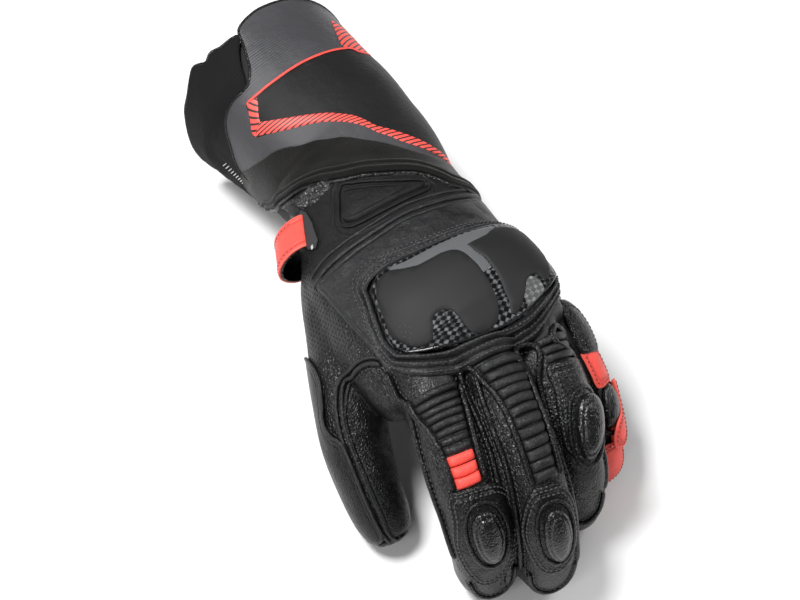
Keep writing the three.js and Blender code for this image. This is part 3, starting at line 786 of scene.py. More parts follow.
def textileLook(name, base, pale, gloss=0.55, shine=0.5):
    paint = Paint(name)
    across, down, _ = paint.split(paint.sheet())
    ribs = paint.maths("SINE", down * (2 * math.pi / 0.085))
    threads = paint.maths("SINE", across * (2 * math.pi / 0.05))
    weave = ribs * 0.5 + ribs * threads * 0.3
    broad = paint.cloud(paint.place(), 45.0, 3.0)
    colour = paint.blend(broad * 0.6 + weave * 0.16 + 0.2, base, pale)
    normal = paint.bump(paint.cloud(paint.place(), 60.0, 3.0), 0.003, 0.35)
    normal = paint.bump(weave, 0.00012, 0.7, normal)
    return paint.done(
        Base_Color=colour, Roughness=gloss - 0.06 * weave, Normal=normal, Specular_IOR_Level=shine
    )


def carbonLook(name, size, dark, pale, gloss, uneven=0.0):
    paint = Paint(name)
    across, down, _ = paint.split(paint.sheet())
    left = paint.maths("SINE", (across + down) * (math.pi / size))
    right = paint.maths("SINE", (across - down) * (math.pi / size))
    check = paint.clamp(left * right, -0.12, 0.12)
    strands = paint.maths("SINE", (across * check + down * (1 - check)) * (2 * math.pi / 0.03))
    crown = paint.maths("ABSOLUTE", left * right)
    # Painted glints: a cloud dims the pale cells unevenly, so some seem to catch the light more than others;
    # uneven sets how strong these painted glints are
    paintedGlint = 1 - uneven * (1 - paint.clamp(paint.cloud(paint.place(), 460.0, 2.0), 0.38, 0.62))
    # Painted highlight and shade: each pale cell is lightest at its crown and darker towards its borders, as
    # a rounded tow would be lit
    colour = paint.blend(check * (0.45 + 0.55 * crown) * paintedGlint, dark, pale)
    colour = paint.blend(strands * 0.12 + 0.12, colour, (0.0, 0.0, 0.0))
    normal = paint.bump(crown + strands * 0.1, 0.00012, 0.35)
    return paint.done(
        Base_Color=colour, Roughness=0.5 - 0.12 * check, Normal=normal, Coat_Weight=gloss,
        Coat_Roughness=0.05, Specular_IOR_Level=0.06,
    )


def plasticLook(name, colour, pale, gloss):
    paint = Paint(name)
    where = paint.place()
    speckle = paint.cloud(where, 2400.0, 2.0)
    broad = paint.cloud(where, 30.0, 2.0)
    mixed = paint.blend(broad * 0.7 + speckle * 0.3, colour, pale)
    # Painted highlight: the rim is painted lighter, towards twice the pale tone
    lighterRim = 1 - paint.clamp(paint.number("edge"), 0.1, 0.8)
    mixed = paint.blend(lighterRim * 0.5, mixed, tuple(min(v * 2.0, 1) for v in pale))
    normal = paint.bump(speckle, 0.00006, 0.5)
    return paint.done(
        Base_Color=mixed, Roughness=gloss + 0.12 * (broad - 0.5), Normal=normal,
        Specular_IOR_Level=0.3 if gloss > 0.3 else 0.5,
    )


def printLook(name, look, pitch, slant, dark):
    paint = Paint(name)
    across, down, _ = paint.split(paint.sheet())
    phase = paint.maths("WRAP", down + across * slant, pitch, 0.0)
    gapMask = 1 - paint.clamp(paint.maths("ABSOLUTE", phase - pitch / 2), pitch * 0.15, pitch * 0.21)
    speck = paint.cloud(paint.place(), 1800.0, 3.0)
    colour = paint.blend(speck, look["colour"], look["pale"])
    colour = paint.blend(gapMask, colour, dark)
    normal = paint.bump(speck + (1 - gapMask) * 1.5, 0.0001, 0.6)
    return paint.done(Base_Color=colour, Roughness=0.45 + 0.1 * speck, Normal=normal)


def webbingLook(name, dark, pale):
    paint = Paint(name)
    across, down, _ = paint.split(paint.sheet())
    warp = paint.maths("ABSOLUTE", paint.maths("SINE", across * (math.pi / 0.06)))
    weft = paint.maths(
        "ABSOLUTE", paint.maths("SINE", down * (math.pi / 0.05) + paint.maths("FLOOR", across / 0.06) * 1.57)
    )
    height = warp * 0.5 + weft * 0.5
    colour = paint.blend(height * 0.7 + paint.cloud(paint.place(), 500.0) * 0.3, dark, pale)
    return paint.done(Base_Color=colour, Roughness=0.7 - 0.1 * height, Normal=paint.bump(height, 0.0003, 0.9))


def elasticLook(name):
    paint = Paint(name)
    where = paint.place()
    crinkle = paint.node("TexVoronoi", {"feature": "F1"}, {"Vector": where, "Scale": 700.0})
    fine = paint.cloud(where, 1500.0, 4.0)
    colour = paint.blend(fine, tone(18, 18, 19), tone(60, 60, 62))
    normal = paint.bump(crinkle + fine * 0.5, 0.0006, 0.9)
    return paint.done(Base_Color=colour, Roughness=0.12 + 0.18 * fine, Normal=normal)


def threadLook(name, dark, pale):
    paint = Paint(name)
    twist = paint.cloud(paint.place(), 3500.0, 2.0)
    colour = paint.blend(twist, dark, pale)
    return paint.done(Base_Color=colour, Roughness=0.5 + 0.1 * twist, Normal=paint.bump(twist, 0.0001, 0.6))


grainLeather = leather("grainLeather", leatherLook["grain"])
skinLeather = leather("perforatedLeather", leatherLook["skin"], holes=True, seam=False)
thumbLeather = leather("thumbLeather", leatherLook["thumb"])
puffLeather = leather("puffLeather", leatherLook["puff"])
mattLeather = leather("mattLeather", leatherLook["matt"])
smoothLeather = leather("smoothLeather", leatherLook["smooth"])
redLeather = leather("redLeather", leatherLook["red"])
suede = suedeLook("suede")
textile = textileLook("gauntletTextile", tone(45, 45, 48), tone(66, 66, 70), 0.42)
flapTextile = textileLook("flapTextile", tone(9, 9, 9), tone(19, 19, 20), 0.85, 0.22)
darkPrint = textileLook("gauntletDarkPrint", tone(11, 11, 12), tone(18, 18, 19), 0.5, 0.3)
lining = textileLook("liningKnit", tone(14, 14, 15), tone(30, 30, 31), 0.85)
carbon = carbonLook("carbonWeave", 0.26, tone(2, 2, 3), tone(118, 120, 122), 0.45, 0.85)
carbonBand = carbonLook("carbonBand", 0.07, tone(78, 79, 81), tone(118, 119, 121), 0.3)
glossLip = plasticLook("glossLip", tone(22, 22, 23), tone(34, 34, 35), 0.08)
guardPlastic = plasticLook("guardPlastic", tone(20, 20, 21), tone(25, 25, 26), 0.62)
redBorder = printLook("redBorderPrint", leatherLook["red"], 0.30, -1.1, tone(26, 26, 27))
redStripes = printLook("redStripePrint", leatherLook["red"], 0.21, -0.5, tone(60, 60, 64))
webbing = webbingLook("keeperWebbing", tone(20, 22, 23), tone(46, 49, 51))
elastic = elasticLook("gatheredElastic")
blackThread = threadLook("blackThread", tone(30, 30, 31), tone(88, 88, 90))
redThread = threadLook("darkRedThread", tone(90, 20, 18), tone(150, 34, 30))
paleThread = threadLook("paleThread", tone(170, 170, 168), tone(220, 220, 218))

print("materials ready")

# Base skin: hollow leather of the hand, the fingers and the thumb, sewn into one body.
# A fold is how many there are to a millimetre, and its height.
skinMeasures = {
    "lofts": [
        ("hand", -0.10, 0.82), ("index", 0.0, 1.0), ("middle", 0.0, 1.0), ("ring", 0.0, 1.0),
        ("little", 0.0, 1.0), ("thumb", 0.0, 1.0),
    ],
    "voxel": 1.7, "smoothing": 9, "wall": 1.6, "folds": [(0.045, 0.9), (0.11, 0.4), (0.28, 0.16)],
}


def loftBody(tube, start, end):
    piece, around, down = newGrid(tube + "Loft", 40, 56)
    along = start + (end - start) * down
    moveCorners(piece, onTube(tube, along, around * 360, 0) * metre)
    weld(piece, 1e-6, closeEnds=True, turnFaces=True)
    return piece


def makeSkin():
    skin = joinAll([loftBody(*loft) for loft in skinMeasures["lofts"]], "handSkin")
    applyModifier(skin, "union", "REMESH", mode="VOXEL", voxel_size=skinMeasures["voxel"] * metre)
    applyModifier(skin, "soften", "SMOOTH", factor=0.5, iterations=skinMeasures["smoothing"])
    at = corners(skin) / metre
    normals = np.zeros(len(at) * 3)
    skin.data.vertices.foreach_get("normal", normals)
    normals = normals.reshape(-1, 3)
    push = np.zeros(len(at))
    for scale, tall in skinMeasures["folds"]:
        push += [tall * noise.noise(Vector(p * scale)) for p in at]
    at = at + normals * push[:, None]
    at[:, 2] = np.maximum(at[:, 2], 0.05)
    moveCorners(skin, at * metre)
    mouth = onTube("hand", -0.05, np.arange(0, 360, 30)).mean(0)
    forward = tubes["hand"]["columns"][0, 3:6]
    pick(skin)
    bpy.ops.object.mode_set(mode="EDIT")
    bpy.ops.mesh.select_all(action="SELECT")
    bpy.ops.mesh.bisect(plane_co=mouth * metre, plane_no=forward, clear_inner=True)
    bpy.ops.object.mode_set(mode="OBJECT")
    tree = BVHTree.FromPolygons(
        [v.co for v in skin.data.vertices], [face.vertices for face in skin.data.polygons]
    )
    thicken(skin, skinMeasures["wall"])
    x, y, z = (corners(skin) / metre).T
    thumbSide = ramp(12 - x, 6) * ramp(z - 18, 6) * ramp(y + 42, 8)
    fingers, thumbPart = ramp(-70 - y, 8), ramp(-18 - x, 8) * ramp(-20 - y, 10)
    keepNumber(skin, "perforated", thumbSide)
    keepNumber(skin, "pebbled", 0.15 + 0.85 * np.maximum.reduce([fingers, thumbPart, 0.4 * thumbSide]))
    keepNumber(skin, "edge", np.full(len(x), 9.0))
    stands = ("hand_shell", "finger_index", "finger_middle", "finger_ring", "finger_little", "thumb")
    return finishPiece(skin, skinLeather, stands, 60), tree


handSkin, skinTree = makeSkin()
print("base skin made:", len(handSkin.data.polygons), "faces")

# Cuff sleeve with its lining
sleeveMeasures = {
    "to": 1.06, "wall": 2.0,
    "mouth": [
        (0, 0.03), (60, 0.03), (90, 0.035), (100, 0.07), (110, 0.13), (120, 0.17), (135, 0.14), (150, 0.08),
        (180, 0.06), (225, 0.04), (270, 0.03), (360, 0.03),
    ],
}


def sleeveStart(around):
    rounds, starts = zip(*sleeveMeasures["mouth"])
    return np.interp(np.asarray(around, float) % 360.001, rounds, starts)


def makeSleeve():
    rows, columns = 44, 72
    piece, around, down = newGrid("cuffSleeve", columns, rows)
    start = sleeveStart(around * 360)
    along = start + (sleeveMeasures["to"] - start) * down
    flat = np.column_stack([around * 360 * tubes["cuff"]["perDegree"], along * tubes["cuff"]["length"]])
    keepUv(piece, flat)
    keepNumber(piece, "edge", np.full(len(along), 9.0))
    moveCorners(piece, onTube("cuff", along, around * 360, 0.15) * metre)
    turnOut(piece, "cuff")
    weld(piece, 1e-6)
    thicken(piece, sleeveMeasures["wall"])
    return finishPiece(piece, lining, ("cuff_inner",), 60)


makeSleeve()

# Gauntlet: textile panel and its printed pattern
gauntletPanel = {
    "tube": "arm", "low": -0.8, "high": 1.5, "cell": 3.0,
    "outline": [
        (0.029, 110), (0.014, 100), (0.007, 91), (0.006, 80), (0.008, 62), (0.014, 40), (0.03, 10),
        (0.05, -22), (0.18, -21), (0.30, -20), (0.46, -20), (0.48, 0), (0.485, 25), (0.48, 50), (0.46, 70),
        (0.43, 88), (0.39, 104), (0.35, 116), (0.29, 138), (0.255, 160), (0.235, 178), (0.19, 178),
        (0.166, 173), (0.141, 164), (0.128, 160), (0.117, 155), (0.111, 149), (0.112, 139), (0.115, 129),
        (0.100, 121), (0.086, 118), (0.060, 114),
    ],
}


def gauntletWaves(flat, edge):
    along, around = fromFlat("arm", flat)
    over = 1.4 * ramp(around - 96, 25) * ramp(0.26 - along, 0.08)
    waves = flatNoise(flat, 0.03, 0.05, 7.0)
    return over + 0.9 * waves * ramp(edge, 6)


layPanel("gauntletPanel", gauntletPanel, textile, ("gauntlet_panel",), gauntletWaves)
print("gauntlet made")

# Cords and seams that cross from the hand to the fingers are settled on the skin itself
def settle(points, lift, passes=6):
    spots, ways = [], []
    for point in points:
        spot, way, _, _ = skinTree.find_nearest(Vector(point * metre))
        spots.append(np.array(spot) / metre)
        ways.append(np.array(way))
    spots, ways = np.array(spots), np.array(ways)
    for _ in range(passes):
        spots[1:-1] = (spots[:-2] + 2 * spots[1:-1] + spots[2:]) / 4
        ways[1:-1] = (ways[:-2] + 2 * ways[1:-1] + ways[2:]) / 4
    ways = unit(ways)
    return spots + ways * np.asarray(lift)[:, None], ways


# How far the skin stands above a tube's own surface, in millimetres
def skinLift(tube, along, around, above=14, reach=24, lowest=-2.0):
    top, out = onTube(tube, along, around, above), outwardOn(tube, along, around, 0)
    found = []
    for spot, way in zip(top, out):
        distance = skinTree.ray_cast(Vector(spot * metre), Vector(-way), reach * metre)[3]
        found.append(lowest if distance is None else above - distance / metre)
    return np.clip(found, -5, 6)


def lineOnSkin(spots, spacing=1.5):
    points = [[*onTube(tube, along, around, 0), lift] for tube, along, around, lift in spots]
    joined = smoothLoop(points, spacing, False)
    return settle(joined[:, :3], joined[:, 3])


def on(tube, line, lift=0.0):
    return [(tube, along, around, lift) for along, around in line]


def rimLine(measures, inset, lift, spacing=1.2):
    outline = smoothLoop(flatOf(measures["tube"], measures["outline"]), 1.1)
    return lineOn(measures["tube"], insideLine(outline, inset, spacing), lift)


def flatLine(tube, line, lift, spacing=1.4):
    return lineOn(tube, smoothLoop(flatOf(tube, line), spacing, False), lift)


# Back of the hand
backPanel = {
    "tube": "hand", "low": -0.9, "high": 1.5, "cell": 2.6,
    "outline": [
        (0.380, 155), (0.384, 145), (0.380, 128), (0.375, 119), (0.366, 102), (0.351, 84), (0.344, 65),
        (0.337, 50), (0.327, 37), (0.300, 18), (0.32, 2), (0.38, -5), (0.46, -8), (0.58, -8), (0.68, -6),
        (0.76, 0), (0.80, 14), (0.825, 40), (0.83, 80), (0.822, 118), (0.802, 138), (0.745, 140),
        (0.671, 142), (0.608, 142), (0.565, 143), (0.524, 145), (0.481, 147), (0.432, 150),
    ],
    "creases": [
        ((0.352, 60), (0.41, 40), 0.9, 1.6), ((0.372, 70), (0.415, 47), 0.8, 1.4),
        ((0.335, 30), (0.40, 22), 0.8, 1.6), ((0.39, 110), (0.42, 126), 0.5, 2.0),
    ],
}
layPanel("backPanel", backPanel, smoothLeather, ("back_panel",))
wristPanel = {
    "tube": "hand", "low": -0.9, "high": 0.9, "cell": 2.8,
    "outline": [
        (0.067, 158), (0.099, 146), (0.135, 129), (0.154, 118), (0.171, 95), (0.192, 70), (0.209, 51),
        (0.236, 39), (0.253, 24), (0.24, 4), (0.25, -12), (0.36, -12), (0.40, 0), (0.40, 51), (0.41, 84),
        (0.42, 118), (0.42, 139), (0.382, 151), (0.330, 154), (0.24, 160), (0.15, 166),
    ],
}
layPanel("wristPanel", wristPanel, mattLeather)
foldSeam = [
    (0.386, 158), (0.378, 146), (0.372, 128), (0.367, 117), (0.357, 101), (0.342, 83), (0.334, 65),
    (0.327, 50), (0.316, 36), (0.288, 16),
]
seamSpots = smoothLoop(flatOf("hand", foldSeam), 1.5, False)
layCord("backFold", *lineOn("hand", seamSpots, 1.1), 2.6, 1.7, smoothLeather)
layCord("backFoldUpper", *lineOn("hand", seamSpots - np.array([0, 3.4]), 0.95), 1.6, 1.2, smoothLeather)

# Wrist pad
wristPad = {
    "tube": "hand", "low": -0.4, "high": 1.5, "roll": 1.0, "cell": 2.0, "swell": 2.2, "swellWidth": 8.0,
    "rims": (0.3, 0.5, 0.8),
    "outline": [
        (0.198, 117), (0.243, 120), (0.288, 122), (0.303, 118), (0.307, 112), (0.301, 96), (0.288, 74),
        (0.272, 57), (0.264, 56), (0.258, 60), (0.250, 69), (0.236, 82), (0.222, 95), (0.206, 110),
    ],
}
padPiece = layPanel("wristPad", wristPad, mattLeather, ("wrist_pad",))
layCord("wristPadPiping", *rimLine(wristPad, -1.6, 1.4), 1.5, 1.3, mattLeather, closed=True)
layCord("wristPadFold", *rimLine(wristPad, -5.2, 0.7), 2.4, 1.3, mattLeather, closed=True)

# Elastic gathers beside the wrist
wristGusset = {
    "tube": "hand", "low": -0.6, "high": 1.1, "cell": 1.1,
    "outline": [
        (0.040, 179), (0.087, 162), (0.120, 152), (0.131, 140), (0.136, 129), (0.154, 124), (0.173, 126),
        (0.183, 134), (0.185, 143), (0.167, 156), (0.109, 169),
    ],
}


def gathers(flat, edge):
    run = flat[:, 0] * 0.5 + flat[:, 1] * 0.9
    bunch = 0.9 * np.abs(np.sin(run * 1.15 + 0.8 * np.sin(flat[:, 0] * 0.5)))
    fray = flatNoise(flat, 0.9, 0.9, 3.0)
    return (2.2 * bunch + 1.3 * fray) * ramp(edge, 1.5)


layPanel("wristGusset", wristGusset, elastic, ("wrist_gusset",), gathers)

# Webbing keeper with its cap, the strap that goes around under the wrist, and the red pull tab
strapKeeper = {
    "tube": "hand", "low": 0.2, "high": 2.2, "roll": 0.5, "cell": 3.0, "soft": False,
    "outline": [
        (0.139, 160), (0.166, 153), (0.193, 148), (0.235, 144), (0.293, 142), (0.309, 145), (0.293, 151),
        (0.241, 157), (0.185, 161),
    ],
}
layPanel("strapKeeper", strapKeeper, webbing, ("strap_keeper",))
keeperCap = {
    "tube": "hand", "low": 1.2, "high": 3.3, "roll": 0.7, "cell": 2.0,
    "outline": [(0.113, 162), (0.144, 155), (0.171, 153), (0.167, 158), (0.134, 165)],
}
layPanel("keeperCap", keeperCap, guardPlastic)
barTack = flatLine("hand", [(0.297, 145.5), (0.302, 147.5)], 2.5, 0.4)
sewLines(
    "keeperBarTack", [barTack, flatLine("hand", [(0.303, 145.5), (0.308, 147.5)], 2.5, 0.4)], paleThread, 1.6,
    1.6, 0.7,
)

wristStrap = {
    "profile": [(0, -0.4), (0.05, 1.6), (0.12, 1.9), (0.88, 1.9), (0.95, 1.6), (1, -0.4)], "from": 194,
    "to": 340,
}
strapRounds = list(range(wristStrap["from"], wristStrap["to"] + 1, 9))
layStrip(
    "wristStrap", "hand", [(0.158, r) for r in strapRounds], [(0.24, r - 2) for r in strapRounds],
    wristStrap["profile"], grainLeather, ("wrist_strap",),
)
strapLines = [flatLine("hand", [(a, r) for r in strapRounds], 1.95) for a in (0.171, 0.227)]
sewLines("wristStrapStitches", strapLines, blackThread)

pullTab = {"reach": 8.4, "from": 151.0, "to": 194.0, "top": 0.156, "low": 0.246, "slant": 0.032, "sag": 0.012}


# The tab stands off as a loop: down is the share along it, over the share across
def onTab(down, over, lift):
    arch = np.sin(math.pi * down)
    around = pullTab["from"] + (pullTab["to"] - pullTab["from"]) * down
    across = pullTab["top"] + (pullTab["low"] - pullTab["top"]) * over
    along = across + pullTab["sag"] * arch + pullTab["slant"] * (1 - down)
    return along, around, lift + 1.2 + pullTab["reach"] * arch ** 0.75


def layTab(name, lift, thickness, material, stands=()):
    piece, over, down = newGrid(name, 10, 40)
    along, around, high = onTab(down, over, lift)
    flat = np.column_stack([around * tubes["hand"]["perDegree"], along * tubes["hand"]["length"]])
    width = (pullTab["low"] - pullTab["top"]) * tubes["hand"]["length"]
    keepUv(piece, flat)
    keepNumber(piece, "edge", np.minimum(over, 1 - over) * width)
    moveCorners(piece, onTube("hand", along, around, high) * metre)
    turnOut(piece, "hand")
    thicken(piece, thickness)
    applyModifier(
        piece, "edges", "BEVEL", width=0.3 * metre, segments=2, limit_method="ANGLE",
        angle_limit=math.radians(50),
    )
    return finishPiece(piece, material, stands)


layTab("pullTab", 0.9, 1.0, redLeather, ("strap_tab",))
layTab("pullTabLining", -0.1, 1.1, grainLeather)
tabLines = []
for share in (0.12, 0.88):
    along, around, high = onTab(np.linspace(0.12, 0.86, 30), share, 1.0)
    tabLines.append((onTube("hand", along, around, high), outwardOn("hand", along, around, high)))
sewLines("pullTabStitches", tabLines, blackThread, 2.2, 1.2, 0.5)
print("wrist made")

# Suede band around the base of the gauntlet
cuffBand = {
    "tube": "arm", "low": -0.6, "high": 2.7, "roll": 1.2, "cell": 2.6, "rims": (0.3, 0.5, 0.8),
    "outline": [
        (0.196, 206), (0.185, 192), (0.181, 178), (0.208, 168), (0.236, 155), (0.253, 144), (0.276, 134),
        (0.303, 123), (0.340, 112), (0.364, 100), (0.391, 89), (0.413, 77), (0.435, 64), (0.456, 50),
        (0.461, 37), (0.458, 24), (0.456, 10), (0.455, -6), (0.454, -17), (0.52, -17), (0.53, 0), (0.536, 20),
        (0.536, 35), (0.531, 41), (0.521, 45), (0.511, 51), (0.503, 57), (0.497, 64), (0.491, 74),
        (0.485, 84), (0.478, 94), (0.473, 104), (0.467, 114), (0.455, 125), (0.434, 141), (0.392, 160),
        (0.345, 171), (0.300, 182), (0.274, 190), (0.250, 203), (0.222, 208),
    ],
}
bandFolds = [
    (0.25, 178), (0.315, 158), (0.385, 132), (0.42, 108), (0.45, 84), (0.47, 58), (0.49, 36), (0.49, 4)
]


def bandSwell(flat, edge):
    line = flatOf("arm", bandFolds)
    near = distanceTo(flat, line, closed=False)
    waves = flatNoise(flat, 0.05, 0.12, 1.0)
    return (0.5 * waves - 0.5 * np.exp(-((near / 1.8) ** 2))) * ramp(edge, 3)


layPanel("cuffBand", cuffBand, suede, ("cuff_band",), bandSwell)
bandRows = smoothLoop(flatOf("arm", cuffBand["outline"][20:]), 1.5, False)
for number, (inward, lift) in enumerate(((1.4, 2.5), (3.9, 2.8))):
    layCord(
        "cuffBandPiping" + str(number + 1), *lineOn("arm", beside(bandRows, -inward), lift), 1.8, 1.4, suede
    )
layCord("cuffBandEdge", *lineOn("arm", beside(bandRows, 1.0), 0.9), 2.4, 2.0, grainLeather)

# Printed pattern of the gauntlet, with its binding
bindingFlat = insideLine(smoothLoop(flatOf("arm", gauntletPanel["outline"]), 1.1), 0.3, 1.2)
layCord(
    "gauntletBinding",
    *lineOn("arm", bindingFlat, 1.0 + gauntletWaves(bindingFlat, np.zeros(len(bindingFlat)))), 1.5, 1.9,
    grainLeather, closed=True,
)
borderOuter = [
    (0.135, 137), (0.151, 140), (0.170, 144), (0.188, 148), (0.198, 148), (0.219, 140), (0.245, 128),
    (0.266, 115), (0.287, 103), (0.324, 91), (0.356, 82), (0.382, 76), (0.401, 68), (0.418, 61), (0.429, 51),
    (0.435, 42), (0.438, 34), (0.440, 18), (0.441, 3), (0.440, -12),
]
borderInner = [
    (0.145, 129), (0.158, 132), (0.174, 136), (0.187, 138), (0.199, 134), (0.225, 123), (0.247, 111),
    (0.269, 99), (0.299, 87), (0.331, 80), (0.363, 74), (0.379, 66), (0.394, 58), (0.407, 49), (0.417, 40),
    (0.422, 32), (0.424, 18), (0.425, 3), (0.425, -12),
]
topLine = [
    (0.135, 137), (0.140, 127), (0.143, 113), (0.144, 93), (0.148, 76), (0.152, 55), (0.154, 46), (0.163, 42),
    (0.160, 26),
]
darkField = {
    "tube": "arm", "low": 1.1, "high": 1.75, "roll": 0.25, "cell": 3.0, "rims": (0.3,),
    "outline": topLine + [(0.16, 2), (0.165, -16), (0.30, -17)] + borderOuter[::-1][:-1],
}


def overWaves(flat, edge=None):
    outline = smoothLoop(flatOf("arm", gauntletPanel["outline"]), 2.0)
    return gauntletWaves(flat, distanceTo(flat, outline))


layPanel("gauntletDarkField", darkField, darkPrint, (), overWaves)
flatPrint = [(0, 1.5), (0.08, 1.95), (0.92, 1.95), (1, 1.5)]
layStrip(
    "gauntletBorderSide", "arm", borderOuter[:5], borderInner[:4], flatPrint, redBorder, thickness=0.5,
    lift=overWaves,
)
layStrip(
    "gauntletBorderLow", "arm", borderOuter[4:], borderInner[3:], flatPrint, redBorder, thickness=0.5,
    lift=overWaves,
)
lineFlat = smoothLoop(flatOf("arm", topLine), 1.5, False)
layCord("gauntletLine", *lineOn("arm", lineFlat, 1.75 + overWaves(lineFlat)), 1.2, 0.5, redLeather, ends=0.6)
stripedCorner = {
    "tube": "arm", "low": 1.3, "high": 1.8, "roll": 0.2, "cell": 3.0, "rims": (0.3,), "soft": False,
    "outline": [
        (0.070, 41), (0.080, 32), (0.100, 26), (0.125, 24), (0.142, 24), (0.158, 26), (0.165, 39),
        (0.161, 44), (0.152, 48), (0.147, 53), (0.114, 48),
    ],
}
layPanel("gauntletStripes", stripedCorner, redStripes, (), overWaves)

# Closure flap on the thumb's side of the cuff
closureFlap = {
    "tube": "cuff", "low": 0.2, "high": 2.0, "roll": 0.8, "cell": 2.8,
    "outline": [
        (0.110, 109), (0.098, 115), (0.089, 123), (0.060, 130), (0.075, 135), (0.036, 139), (0.004, 143),
        (0.017, 149), (0.034, 158), (0.021, 168), (0.025, 180), (0.022, 200), (0.022, 223), (0.19, 232),
        (0.29, 237), (0.38, 237), (0.46, 233), (0.50, 205), (0.506, 180), (0.46, 168), (0.40, 154),
        (0.36, 142), (0.34, 132), (0.29, 125), (0.19, 117),
    ],
    "creases": [
        ((0.324, 122), (0.300, 144), 0.9, 1.6), ((0.300, 144), (0.269, 165), 1.1, 2.0),
        ((0.10, 128), (0.22, 150), 0.5, 2.6), ((0.36, 172), (0.30, 200), 0.6, 2.2),
    ],
}


def flapWaves(flat, edge):
    along, around = fromFlat("cuff", flat)
    fold = 0.245 - 0.0002 * (around - 118)
    below = ramp(along - fold, 0.012) * ramp(200 - around, 12)
    waves = flatNoise(flat, 0.07, 0.09, 5.0)
    gathered = 0.25 * np.sin(flat[:, 0] * 3.2) * below
    return (0.6 * waves + gathered) * ramp(edge, 4) + 0.9 - 1.4 * below * below * (3 - 2 * below)


layPanel("closureFlap", closureFlap, flapTextile, ("closure_flap",), flapWaves)
flapEdge = smoothLoop(flatOf("cuff", closureFlap["outline"][:18]), 1.4, False)
layCord(
    "flapBinding", *lineOn("cuff", flapEdge, 1.2 + flapWaves(flapEdge, np.zeros(len(flapEdge)))), 1.6, 2.0,
    grainLeather,
)
teeth = []
for spot in smoothLoop(flatOf("cuff", [(0.33, 186), (0.39, 187), (0.45, 188), (0.50, 189)]), 1.6, False):
    along, around = fromFlat("cuff", spot[None])
    foot, tip = onTube("cuff", along, around, 0.6), onTube("cuff", along, around, 2.9)
    ahead = onTube("cuff", along + 0.01, around, 0.6) - foot
    teeth.append((np.vstack([foot, tip]), np.vstack([ahead, ahead])))
sewLines("hookTeeth", teeth, paleThread, 2.3, 2.3, 0.55)
rimRounds = np.arange(0, 360, 2.0)
rimStarts = sleeveStart(rimRounds)
sleeveRim = onTube("cuff", rimStarts, rimRounds, -0.4), outwardOn("cuff", rimStarts, rimRounds, -0.4)
layCord("cuffMouthBinding", *sleeveRim, 2.2, 2.4, grainLeather, closed=True)
print("cuff made")

# Padded rim around the guard, with three stitched ridges
guardRim = {
    "inner": [
        (0.498, 122), (0.524, 123), (0.555, 125), (0.591, 127), (0.627, 129), (0.677, 127), (0.740, 123),
        (0.784, 115), (0.808, 103), (0.829, 87), (0.838, 71), (0.838, 54), (0.815, 40), (0.785, 29),
        (0.74, 19), (0.68, 12), (0.62, 9), (0.56, 9), (0.51, 10), (0.480, 14), (0.487, 26), (0.489, 42),
        (0.490, 64), (0.488, 77), (0.485, 89), (0.481, 100), (0.481, 110), (0.486, 117),
    ],
    "outer": [
        (0.462, 133), (0.488, 134), (0.518, 135), (0.553, 138), (0.586, 139), (0.627, 140), (0.666, 139),
        (0.723, 137), (0.776, 133), (0.815, 128), (0.846, 121), (0.868, 109), (0.878, 96), (0.882, 82),
        (0.886, 69), (0.886, 54), (0.878, 41), (0.852, 28), (0.81, 18), (0.76, 8), (0.68, 0), (0.6, -3),
        (0.52, -3), (0.455, 2), (0.425, 10), (0.422, 24), (0.431, 44), (0.436, 62), (0.435, 78), (0.431, 93),
        (0.426, 106), (0.424, 117), (0.436, 129),
    ],
    "profile": [
        (0, 4.2), (0.05, 5.0), (0.13, 5.2), (0.22, 4.7), (0.29, 3.5), (0.33, 3.1), (0.38, 3.7), (0.47, 4.3),
        (0.56, 4.0), (0.64, 2.9), (0.69, 2.5), (0.76, 2.8), (0.86, 2.4), (0.94, 1.7), (1, 0.2),
    ],
    "columns": 22, "seams": [(0.14, 5.2), (0.47, 4.35), (0.80, 2.75)],
}


# Two loops cut by rays from the guard's middle, so that a ring between them doesn't twist
def loopsByTurn(tube, inner, outer, count, middle=(0.655, 68)):
    middle = flatOf(tube, [middle])[0]
    turns = np.linspace(-math.pi, math.pi, count, endpoint=False)
    made = []
    for line in (inner, outer):
        line = smoothLoop(flatOf(tube, line), 0.4) - middle
        turn = np.arctan2(line[:, 1], line[:, 0])
        order = np.argsort(turn)
        turn, line = turn[order], line[order]
        reach = np.interp(turns, turn, np.linalg.norm(line, axis=1), period=2 * math.pi)
        made.append(middle + np.column_stack([np.cos(turns), np.sin(turns)]) * reach[:, None])
    return made


